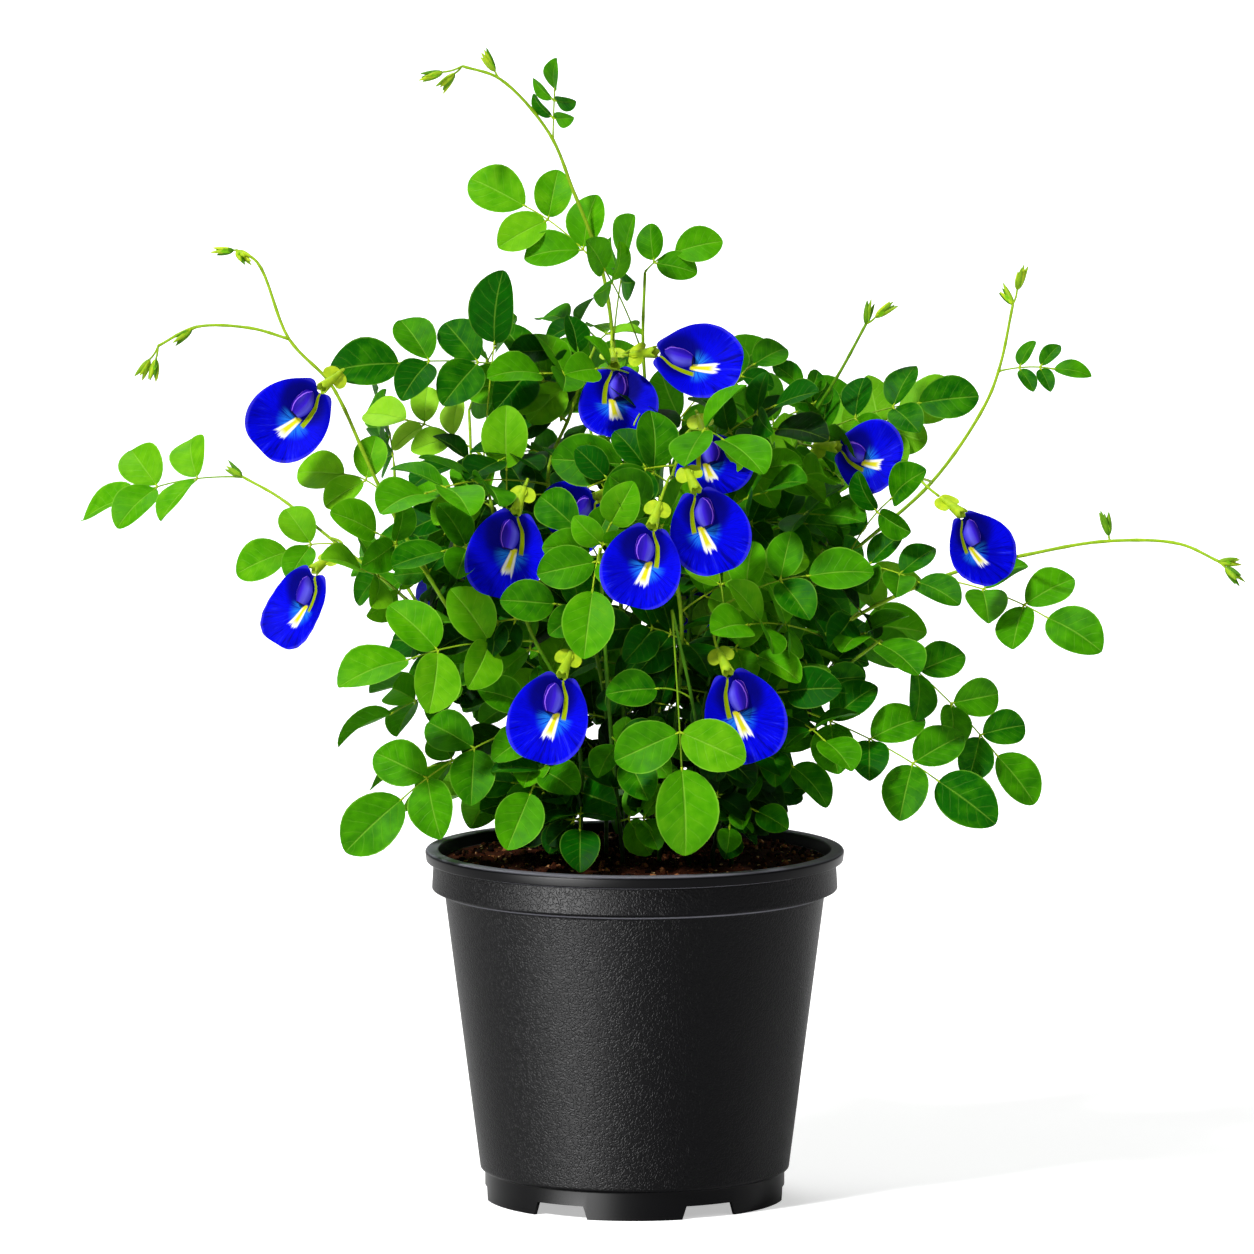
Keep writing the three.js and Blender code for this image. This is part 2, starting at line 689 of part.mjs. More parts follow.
function makePot() {
  const { collarStep, rimFoot } = potLevels;
  const { height, rimRadius, mouthRadius, collarRadius, bodyTopRadius, bodyFootRadius } = potSize;
  const { footRadius, footHeight, wall, sides, step, collarSlope, taper, bevel, bevelRise } = potSize;
  const floorTop = floorHeight + floorThickness;
  let pot = turned([
    [0, floorHeight],
    [footRadius - wall, floorHeight],
    [footRadius - wall, 0],
    [footRadius, 0],
    [footRadius, footHeight],
    [bodyFootRadius, footHeight + step],
    [bodyTopRadius, collarStep],
    [collarRadius, collarStep + collarSlope],
    [collarRadius - step, rimFoot],
    [rimRadius - taper, rimFoot + step],
    [rimRadius, height - bevelRise],
    [rimRadius - bevel, height],
    [mouthRadius, height],
    [innerRadius(collarStep), collarStep],
    [innerRadius(floorTop), floorTop],
    [0, floorTop],
  ], sides);
  for (let i = 0; i < footNotch.count; i++) {
    const angle = footNotch.firstAngle + (i * 2 * Math.PI) / footNotch.count;
    const box = new THREE.BoxGeometry(footNotch.width, 6 * wall, 2 * footNotch.height);
    pot = pot.subtract(solidOf(box.translate(0, -footRadius, 0).rotateZ(angle)));
  }
  for (let i = 0; i < drainHole.count; i++) {
    const angle = (i * 2 * Math.PI) / drainHole.count;
    const centre = [drainHole.ringRadius * Math.cos(angle), drainHole.ringRadius * Math.sin(angle), 0];
    pot = pot.subtract(prism(drainHole.radius, 2 * floorTop, drainHole.sides, centre));
  }
  return pot;
}

// Soil that fills the pot to under its rim. Its top is a low heap with small lumps.
function makeSoil(feet) {
  const { edgeHeight, crown, relief, rings, wallGap } = soilSize;
  const { sides } = potSize;
  const bottom = floorHeight + floorThickness + wallGap;
  const edge = innerRadius(edgeHeight) - wallGap;
  const points = [new THREE.Vector3(0, 0, edgeHeight + crown)];
  const addRing = (radius, heightAt) => {
    for (let k = 0; k < sides; k++) {
      const angle = (2 * Math.PI * k) / sides - Math.PI / 2;
      points.push(new THREE.Vector3(radius * Math.cos(angle), radius * Math.sin(angle), heightAt(k)));
    }
  };
  for (let ring = 1; ring <= rings; ring++) {
    const share = ring / rings;
    const heap = edgeHeight + crown * (1 - share ** 2);
    addRing(share * edge, (k) => heap + relief * (2 * draw(ring, k) - 1) * (1 - share));
  }
  addRing(innerRadius(potLevels.collarStep) - wallGap, () => potLevels.collarStep);
  addRing(innerRadius(bottom) - wallGap, () => bottom);
  points.push(new THREE.Vector3(0, 0, bottom));
  const faces = [];
  const lastRing = 1 + (rings + 1) * sides;
  for (let k = 0; k < sides; k++) {
    const next = (k + 1) % sides;
    faces.push([0, 1 + k, 1 + next], [points.length - 1, lastRing + next, lastRing + k]);
    for (let a = 1; a < lastRing; a += sides) {
      faces.push([a + k, a + sides + k, a + sides + next], [a + k, a + sides + next, a + next]);
    }
  }
  const radius = (stemSize.footRadius + hole.gap) / Math.cos(Math.PI / hole.sides);
  const depth = hole.top - hole.bottom;
  const holes = feet.map(({ x, y }) => prism(radius, depth, hole.sides, [x, y, hole.bottom]));
  return solid(points, faces).subtract(wasm.Manifold.union(holes));
}

// A stem's centre line: straight up out of its hole, then smoothly through its control points.
function centreLine(foot, controls) {
  const start = foot ? [new THREE.Vector3(foot.x, foot.y, hole.top)] : [];
  const curve = new THREE.CatmullRomCurve3([...start, ...controls]);
  const points = curve.getPoints((curve.points.length - 1) * stemSize.stepsPerSpan);
  return foot ? [new THREE.Vector3(foot.x, foot.y, hole.bottom + hole.gap), ...points] : points;
}

// The point of a stem's line that lies `share` of a step before its control point `at`, or on it where the
// stem ends there and `share` is 0.
function pointOn(line, count, at, share) {
  const index = line.length - 1 - (count - 1 - at) * stemSize.stepsPerSpan;
  return line[index].clone().lerp(line[index - 1], share);
}

// The share of a step by which repeat `order` at one control point stands back from it.
function setBack(at, count, order) {
  return stemSize.leafSpacing * (order + (at === count - 1 ? 0 : 1));
}

function stemTube(points, firstRadius) {
  const { lerp } = THREE.MathUtils;
  const radii = points.map((_, i) => lerp(firstRadius, stemSize.tipRadius, i / (points.length - 1)));
  return tube(points, radii, stemSize.sides);
}

// Every solid placed so far, with the node that it belongs to. Stems and stalks of one node may meet.
const placed = [];

function place(piece, node, isBlade) {
  placed.push({ piece, node, isBlade, box: piece.boundingBox() });
  return piece;
}

function isClear(piece, node, isBlade) {
  const box = piece.boundingBox();
  return placed.every((other) => {
    if (node === other.node && !isBlade && !other.isBlade) return true;
    const apart = [0, 1, 2].some(
      (i) => box.min[i] - clearance > other.box.max[i] || box.max[i] + clearance < other.box.min[i],
    );
    return apart || piece.minGap(other.piece, 2 * clearance) >= clearance;
  });
}

// Grows one leaf. Where it would cross what is there, it is bent nearer or farther, and at last it goes
// without the leaflets that still cross.
function growLeaf(node, leaf, tipAt) {
  let best = { missing: Infinity, kept: [] };
  for (const bend of bends) {
    const plan = leafPlan({ ...leaf, tip: tipAt(bend) });
    const rachis = leafSolid(plan, []);
    if (!isClear(rachis, node, false)) continue;
    const kept = plan.leaflets.filter((leaflet) => isClear(looseBlade(leaflet), node, true));
    const missing = plan.leaflets.length - kept.length + (kept[0] === plan.leaflets[0] ? 0 : 1);
    if (missing < best.missing) best = { missing, plan, rachis, kept };
    if (missing === 0) break;
  }
  if (best.kept.length === 0) return [];
  place(best.rachis, node, false);
  best.kept.forEach((leaflet) => place(looseBlade(leaflet), node, true));
  return [leafSolid(best.plan, best.kept)];
}

// The outward direction of a point, level, from the pot's axis.
function outwardOf(point) {
  return new THREE.Vector3(point.x, point.y, 0).normalize();
}

function faceOf(point, viewer) {
  const face = up.clone().multiplyScalar(facing.up).addScaledVector(toViewer, viewer);
  return face.addScaledVector(outwardOf(point), facing.outward + facing.viewer - viewer);
}

// Every stem as { node, foot, line, firstRadius, leaves, blooms, buds }, with all places in millimetres.
function seenStem(name) {
  const { from, at: fork, foot, path, leaves = [], blooms = [], buds = [] } = stems[name];
  const controls = path.map(seen);
  const standing = foot ? new THREE.Vector3(foot[0], -foot[1], 0) : null;
  const line = centreLine(standing, from ? [seen(stems[from].path[fork]), ...controls] : controls);
  const count = controls.length;
  return {
    node: `stem_${from ?? name}`,
    foot: standing,
    line,
    firstRadius: from ? stemSize.tipRadius : stemSize.footRadius,
    leaves: leaves.map(({ at, tip: [x, y, toward], pairs, size, young = false }, i) => {
      const order = leaves.slice(0, i).filter((leaf) => leaf.at === at).length;
      const base = pointOn(line, count, at, setBack(at, count, order));
      const face = faceOf(base, facing.viewer);
      const leaf = { base, face, pairs, young, length: size * view.mmPerPixel };
      return { leaf, tipAt: (bend) => seen([x, y, toward + bend]) };
    }),
    blooms: blooms.map(({ at, hinge, tip, face }) => ({
      start: pointOn(line, count, at, 0),
      bloom: { hinge: seen(hinge), tip: seen(tip), face: new THREE.Vector3(face[0], -1, face[1]) },
    })),
    buds: buds.map(seen),
    controls,
  };
}

function backStem(index) {
  const { angles, footRadii, heights, outerCount, reach, innerReach, innerRise, jitter } = backStems;
  const { leafReach, leafReachLeast, leafReachSpread, leafReachDrop } = backStems;
  const { leafTurn, leafTurnSpread } = backStems;
  const { leafRise, leafRiseStep, leafRiseSpread, leafLength, hands } = backStems;
  const { bloomStems, bloomOut, bloomDown, bloomLean, bloomFace } = backStems;
  const isOuter = index < outerCount;
  const angle = angles[index];
  const outward = new THREE.Vector3(Math.cos(angle), Math.sin(angle), 0);
  const sideways = new THREE.Vector3(-outward.y, outward.x, 0);
  const foot = outward.clone().multiplyScalar(footRadii[index]);
  const spread = (k) => jitter * (2 * draw(index, k) - 1);
  const controls = heights.map((height, j) => {
    const point = outward.clone().multiplyScalar((isOuter ? reach : innerReach)[j] + spread(j));
    point.addScaledVector(sideways, spread(j + 10));
    return point.setZ(potSize.height + height * (isOuter ? 1 : innerRise) + spread(j + 20));
  });
  const line = centreLine(foot, controls);
  const leaves = controls.flatMap((_, j) => hands[j].map((hand, order) => {
    const base = pointOn(line, controls.length, j, setBack(j, controls.length, order));
    const k = 2 * j + hand;
    const turn = hand * (leafTurn + leafTurnSpread * draw(index, k + 30));
    const way = outward.clone().applyAxisAngle(up, turn);
    way.z = leafRise + leafRiseStep * j + leafRiseSpread * draw(index, k + 50);
    const share = (leafReachLeast + leafReachSpread * draw(index, k + 70)) * (1 - leafReachDrop * j);
    const tip = along(base, way.normalize(), leafReach * share);
    return {
      leaf: { base, face: faceOf(base, 0), pairs: j === 0 ? 1 : 2, young: false, length: leafLength },
      tipAt: (bend) => along(tip, up, bend),
    };
  }));
  const hinge = along(along(controls[2], outward, bloomOut), up, -bloomDown);
  const fall = along(outward.clone().multiplyScalar(bloomLean), up, -1).normalize();
  const tip = along(hinge, fall, 2 * petalShape.halfWidth);
  const bloom = { hinge, tip, face: along(outward, up, bloomFace) };
  return {
    node: `stem_back_${index + 1}`,
    foot,
    line,
    firstRadius: stemSize.footRadius,
    leaves,
    blooms: bloomStems.includes(index) ? [{ start: controls[2], bloom }] : [],
    buds: [],
    controls,
  };
}

// A finished mesh of one node.
function mesh(name, piece, colour, roughness) {
  const { vertProperties, triVerts } = piece.getMesh();
  const geometry = new THREE.BufferGeometry();
  geometry.setAttribute("position", new THREE.BufferAttribute(vertProperties, 3));
  geometry.setIndex(new THREE.BufferAttribute(triVerts, 1));
  const material = new THREE.MeshStandardMaterial({ color: colour, roughness, metalness: 0 });
  const made = new THREE.Mesh(geometry, material);
  made.name = name;
  return made;
}

const everyStem = [
  ...Object.keys(stems).map(seenStem),
  ...backStems.angles.map((_, index) => backStem(index)),
];
const nodes = new Map();
const corollas = [];
const pot = place(makePot(), "pot", true);
const feet = everyStem.filter((stem) => stem.foot).map((stem) => stem.foot);
const soil = place(makeSoil(feet), "soil", true);

// Stems, buds and blooms come first, because the photograph settles them, and the leaves keep clear of
// them.
for (const stem of everyStem) {
  const pieces = [stemTube(stem.line, stem.firstRadius)];
  for (const centre of stem.buds) {
    const near = stem.controls.toSorted((a, b) => a.distanceTo(centre) - b.distanceTo(centre))[0];
    pieces.push(bud(near, centre));
  }
  for (const { start, bloom } of stem.blooms) {
    pieces.push(holder(bloom, start));
    corollas.push(place(corolla(bloom), `bloom_${corollas.length + 1}`, true));
  }
  pieces.forEach((piece) => place(piece, stem.node, false));
  nodes.set(stem.node, [...(nodes.get(stem.node) ?? []), ...pieces]);
}
let serial = 0;
for (const stem of everyStem) {
  for (const { leaf, tipAt } of stem.leaves) {
    serial += 1;
    nodes.get(stem.node).push(...growLeaf(stem.node, { ...leaf, serial }, tipAt));
  }
}

const plant = new THREE.Group();
plant.name = "potted_butterfly_pea";
plant.add(mesh("pot", pot, colours.pot, 0.55));
plant.add(mesh("soil", soil, colours.soil, 0.95));
for (const [name, pieces] of nodes) {
  plant.add(mesh(name, wasm.Manifold.union(pieces), colours.foliage, 0.5));
}
corollas.forEach((piece, i) => plant.add(mesh(`bloom_${i + 1}`, piece, colours.petal, 0.6)));

export default plant;
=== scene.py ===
import math

import bpy
import numpy as np
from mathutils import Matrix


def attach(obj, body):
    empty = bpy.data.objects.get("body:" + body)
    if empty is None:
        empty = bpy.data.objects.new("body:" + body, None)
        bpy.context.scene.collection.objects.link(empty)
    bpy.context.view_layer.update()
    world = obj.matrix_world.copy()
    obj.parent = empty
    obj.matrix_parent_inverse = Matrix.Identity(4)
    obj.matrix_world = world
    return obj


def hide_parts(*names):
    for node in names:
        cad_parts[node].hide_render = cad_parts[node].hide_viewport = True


# A butterfly pea in a black nursery pot. Shapes are worked out in millimetres, and makePiece puts them into
# their meshes in metres.
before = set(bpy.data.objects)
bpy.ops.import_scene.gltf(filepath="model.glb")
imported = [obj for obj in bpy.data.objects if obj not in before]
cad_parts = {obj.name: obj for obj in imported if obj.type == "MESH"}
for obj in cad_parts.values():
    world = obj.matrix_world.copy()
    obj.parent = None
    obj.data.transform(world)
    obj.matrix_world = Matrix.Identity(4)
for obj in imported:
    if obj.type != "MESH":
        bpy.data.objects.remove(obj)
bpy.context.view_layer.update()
print("frame loaded:", len(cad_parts), "nodes")

mm = 0.001
up = np.array([0.0, 0.0, 1.0])
toViewer = np.array([0.0, -1.0, 0.0])

# How the photograph was taken, and so how the camera stands: it aims at (x, z) on the pot's axis, and a pixel
# there is mmPerPixel wide
shot = {"distance": 5000, "pitch": math.radians(6.65), "mmPerPixel": 0.49, "middle": 627, "size": 1254,
        "aim": (-3.8, 282.2), "sensor": 36}
focal = shot["distance"] / shot["mmPerPixel"]     # in pixels
pitchCos, pitchSin = math.cos(shot["pitch"]), math.sin(shot["pitch"])
eye = np.array([shot["aim"][0], -shot["distance"] * pitchCos, shot["aim"][1] + shot["distance"] * pitchSin])


# Vector tools

def unit(way):
    return way / np.linalg.norm(way, axis=-1, keepdims=True)


def square(way, axis):  # the part of way at right angles to axis, one long
    return unit(way - np.sum(way * axis, axis=-1, keepdims=True) * axis)


def turnAbout(way, axis, angle):  # w cos + (axis x w) sin + axis (axis . w)(1 - cos)
    c, s = math.cos(angle), math.sin(angle)
    return way * c + np.cross(axis, way) * s + axis * np.dot(axis, way) * (1 - c)


def draw(i, k):  # a repeatable draw from 0 to 1 for repeat i, use k
    s = math.sin(i * 12.9898 + k * 78.233) * 43758.5453
    return s - math.floor(s)


# The point that a pixel (x, y) of the photograph shows and that stands `toward` mm nearer the viewer than the
# pot's axis: it lies on the line of sight of that pixel, at the depth -toward
def seen(place):
    x, y, toward = place
    across, rise = (x - shot["middle"]) / focal, (shot["middle"] - y) / focal
    reach = (shot["distance"] * pitchCos - toward) / (pitchCos + rise * pitchSin)
    return np.array([eye[0] + across * reach, -toward, eye[2] + (rise * pitchCos - pitchSin) * reach])


def pixelOf(point):  # where a point shows in the photograph
    x, y, z = point - eye
    away = y * pitchCos - z * pitchSin
    return shot["middle"] + focal * np.array([x, -(y * pitchSin + z * pitchCos)]) / away


# Meshes: a shape gathers closed parts, and makePiece puts them into one mesh

def shellFaces(rings, sides):  # a closed shell: a pole, rings of points and the other pole
    ring = np.arange(rings * sides).reshape(rings, sides) + 1
    after = np.roll(ring, -1, axis=1)
    quads = np.stack([ring[:-1], after[:-1], after[1:], ring[1:]], -1).reshape(-1, 4)
    first = np.stack([np.zeros(sides, int), after[0], ring[0]], -1)
    last = np.stack([np.full(sides, rings * sides + 1), ring[-1], after[-1]], -1)
    tris = np.concatenate([first, last])
    return {"quads": quads, "tris": tris, "quadUnder": np.zeros(len(quads)), "triUnder": np.zeros(len(tris)),
            "kind": np.zeros(rings * sides + 2, int)}


# A thin closed blade: its root, the rows of its upper face, its tip, the rows of its lower face
def bladeFaces(rows, columns):
    top = np.arange(rows * columns).reshape(rows, columns) + 1
    tip = rows * columns + 1
    low = top.copy()
    low[:, 1:-1] = np.arange(rows * (columns - 2)).reshape(rows, columns - 2) + tip + 1
    quads, tris = [], []
    for grid in (top, low):
        block = np.stack([grid[:-1, :-1], grid[1:, :-1], grid[1:, 1:], grid[:-1, 1:]], -1).reshape(-1, 4)
        rootFan = np.stack([np.zeros(columns - 1, int), grid[0, :-1], grid[0, 1:]], -1)
        tipFan = np.stack([np.full(columns - 1, tip), grid[-1, 1:], grid[-1, :-1]], -1)
        fans = np.concatenate([rootFan, tipFan])
        quads.append(block if grid is top else block[:, [0, 3, 2, 1]])     # split along the same diagonal
        tris.append(fans if grid is top else fans[:, ::-1])
    kind = np.zeros(tip + 1 + rows * (columns - 2), int)
    kind[top[:, 0]] = kind[top[:, -1]] = 1          # 1 is the rim, 2 and 3 the midrib above and below
    kind[top[:, columns // 2]] = 2
    kind[low[:, columns // 2]] = 3
    kind[[0, tip]] = 9                              # 9 is an end, where they all meet
    return {"quads": np.concatenate(quads), "tris": np.concatenate(tris), "kind": kind,
            "quadUnder": np.repeat([0.0, 1.0], len(quads[0])),
            "triUnder": np.repeat([0.0, 1.0], len(tris[0]))}


def newShape():
    return {"points": [], "place": [], "kind": [], "quads": [], "tris": [], "quadUnder": [], "triUnder": [],
            "quadPaint": [], "triPaint": [], "count": 0}


# Adds alike closed parts: points (parts, n, 3) and place (parts, n, 3), a coordinate that the materials read.
# Their faces are turned round where the volume that they enclose, the sum of a . (b x c) / 6, is negative.
def addParts(shape, points, place, faces, paint=0):
    parts, size = points.shape[:2]
    quads, tris = faces["quads"], faces["tris"]
    corners = np.concatenate([tris, quads[:, :3], quads[:, [0, 2, 3]]])
    inner = points - points.mean(1, keepdims=True)
    a, b, c = (inner[:, corners[:, i]] for i in range(3))
    if np.sum(a * np.cross(b, c)) < 0:
        quads, tris = quads[:, ::-1], tris[:, ::-1]
    offset = shape["count"] + size * np.arange(parts)[:, None, None]
    shape["points"].append(points.reshape(-1, 3))
    shape["place"].append(np.broadcast_to(place, points.shape).reshape(-1, 3))
    shape["kind"].append(np.tile(faces["kind"], parts))
    shape["quads"].append((quads[None] + offset).reshape(-1, 4))
    shape["tris"].append((tris[None] + offset).reshape(-1, 3))
    for name, many in (("quad", len(quads)), ("tri", len(tris))):
        shape[name + "Under"].append(np.tile(faces[name + "Under"], parts))
        shape[name + "Paint"].append(np.full(many * parts, paint))
    shape["count"] += parts * size


def makePiece(name, shape, materials, nodes=()):
    data = {key: np.concatenate(value) for key, value in shape.items() if key != "count"}
    mesh = bpy.data.meshes.new(name)
    mesh.vertices.add(len(data["points"]))
    mesh.vertices.foreach_set("co", (data["points"] * mm).astype(np.float32).ravel())
    corners = np.concatenate([data["tris"].ravel(), data["quads"].ravel()]).astype(np.int32)
    mesh.loops.add(len(corners))
    mesh.loops.foreach_set("vertex_index", corners)
    triCount, quadCount = len(data["tris"]), len(data["quads"])
    starts = np.concatenate([3 * np.arange(triCount), 3 * triCount + 4 * np.arange(quadCount)])
    mesh.polygons.add(triCount + quadCount)
    mesh.polygons.foreach_set("loop_start", starts.astype(np.int32))
    mesh.update(calc_edges=True)
    mesh.polygons.foreach_set("use_smooth", np.ones(len(starts), bool))
    paint = np.concatenate([data["triPaint"], data["quadPaint"]]).astype(np.int32)
    mesh.polygons.foreach_set("material_index", paint)
    place = mesh.attributes.new("place", "FLOAT_VECTOR", "POINT")
    place.data.foreach_set("vector", data["place"].astype(np.float32).ravel())
    under = mesh.attributes.new("under", "FLOAT", "FACE")
    unders = np.concatenate([data["triUnder"], data["quadUnder"]])
    under.data.foreach_set("value", unders.astype(np.float32))
    ends = np.zeros(2 * len(mesh.edges), np.int32)
    mesh.edges.foreach_get("vertices", ends)
    first, second = data["kind"][ends.reshape(-1, 2)].T
    sharp = (first > 0) & (second > 0) & ((first == second) | (first == 9) | (second == 9))
    mesh.edges.foreach_set("use_edge_sharp", sharp)
    for material in materials:
        mesh.materials.append(material)
    piece = bpy.data.objects.new(name, mesh)
    bpy.context.scene.collection.objects.link(piece)
    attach(piece, "root")
    if nodes:
        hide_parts(*nodes)
    return piece


# A tube along a path: point = path + radius (cos t across + sin t over), with the path's ends as its poles
def tube(path, radii, sides):
    ways = unit(np.gradient(path, axis=0))
    axes = np.eye(3)
    reference = axes[np.argmin(np.abs(ways @ axes).max(0))]
    across = unit(np.cross(ways, reference))
    over = np.cross(ways, across)
    t = 2 * np.pi * np.arange(sides) / sides
    ring = across[:, None] * np.cos(t)[:, None] + over[:, None] * np.sin(t)[:, None]
    rings = path[:, None] + np.asarray(radii)[:, None, None] * ring
    return np.concatenate([path[:1], rings.reshape(-1, 3), path[-1:]])


def addTube(shape, path, radii, sides, tone, paint=0):
    along = np.linspace(0, 1, len(path))
    place = np.zeros((len(path) * sides + 2, 3))
    place[1:-1, 0] = np.repeat(along, sides)
    place[-1, 0] = 1
    tones = np.broadcast_to(tone, len(path))
    place[:, 2] = np.concatenate([tones[:1], np.repeat(tones, sides), tones[-1:]])
    addParts(shape, tube(path, radii, sides)[None], place[None], shellFaces(len(path), sides), paint)


# Thin blades, all in one: with u = 2 s^power - 1, the half width at the share s of the length is
# halfWidth (1 - u^2)^roundness (1 - 0.1 u^3), the midrib rises by bow L sin(pi s) and falls off at the tip by
# droop L s^3, the sides rise by fold, and the rim waves
def blades(specs, rows, columns, look):
    def column(key):
        return np.array([spec[key] for spec in specs], float)[:, None, None]
    base, way, normal = (np.array([spec[key] for spec in specs])[:, None, None]
                         for key in ("base", "way", "normal"))
    length, halfWidth, power, phase = (column(key) for key in ("length", "halfWidth", "power", "phase"))
    bow, droop = column("bow"), column("droop")
    side = np.cross(normal, way)
    s = 0.5 - 0.5 * np.cos(np.pi * np.arange(1, rows + 1) / (rows + 1))
    s, a = np.meshgrid(s, np.linspace(-1, 1, columns), indexing="ij")

    def surface(s, a):
        u = 2 * s ** power - 1
        width = halfWidth * np.clip(1 - u ** 2, 0, 1) ** look["roundness"] * (1 - 0.1 * u ** 3)
        ripple = look["ripple"] * length * np.sin(look["waves"] * s + 2 * a + phase) * a ** 2
        height = bow * length * np.sin(np.pi * s) + look["fold"] * width * np.abs(a) + ripple
        height = height - droop * length * s ** 3
        return (base + way * (s * length)[..., None] + side * (a * width)[..., None]
                + normal * height[..., None])
    upper = surface(s, a)
    inner = slice(1, columns - 1)
    thickness = look["thickness"] * (1 - a[:, inner] ** 2)
    lower = upper[:, :, inner] - normal * thickness[..., None]
    parts = len(specs)
    tip = surface(np.ones((1, 1)), np.zeros((1, 1)))
    points = np.concatenate([part.reshape(parts, -1, 3) for part in (base, upper, tip, lower)], 1)
    flat = np.concatenate([[[0, 0]], np.stack([s, a], -1).reshape(-1, 2), [[1, 0]],
                           np.stack([s[:, inner], a[:, inner]], -1).reshape(-1, 2)])
    place = np.zeros(points.shape)
    place[:, :, :2] = flat
    place[:, :, 2] = column("tone")[:, :, 0]
    return points, place


# A smooth line through points, as a centripetal Catmull-Rom curve with `steps` to a span: each span is the
# cubic through its two ends with the tangents that unequal spacing (distance^0.5) gives
def smoothLine(points, steps):
    p = np.array([2 * points[0] - points[1], *points, 2 * points[-1] - points[-2]])
    gap = np.linalg.norm(np.diff(p, axis=0), axis=1) ** 0.5
    made = []
    t = np.arange(steps)[:, None] / steps
    for i in range(1, len(p) - 2):
        p0, p1, p2, p3 = p[i - 1:i + 3]
        d0, d1, d2 = gap[i - 1:i + 2]
        m1 = ((p1 - p0) / d0 - (p2 - p0) / (d0 + d1) + (p2 - p1) / d1) * d1
        m2 = ((p2 - p1) / d1 - (p3 - p1) / (d1 + d2) + (p3 - p2) / d2) * d1
        made.append(p1 + m1 * t + (3 * (p2 - p1) - 2 * m1 - m2) * t ** 2 + (2 * (p1 - p2) + m1 + m2) * t ** 3)
    return np.concatenate([*made, p[-2:-1]])


def bend(p0, p1, p2, t):  # a quadratic Bezier curve at t
    t = np.asarray(t, float)[..., None]
    return (1 - t) ** 2 * p0 + 2 * t * (1 - t) * p1 + t ** 2 * p2


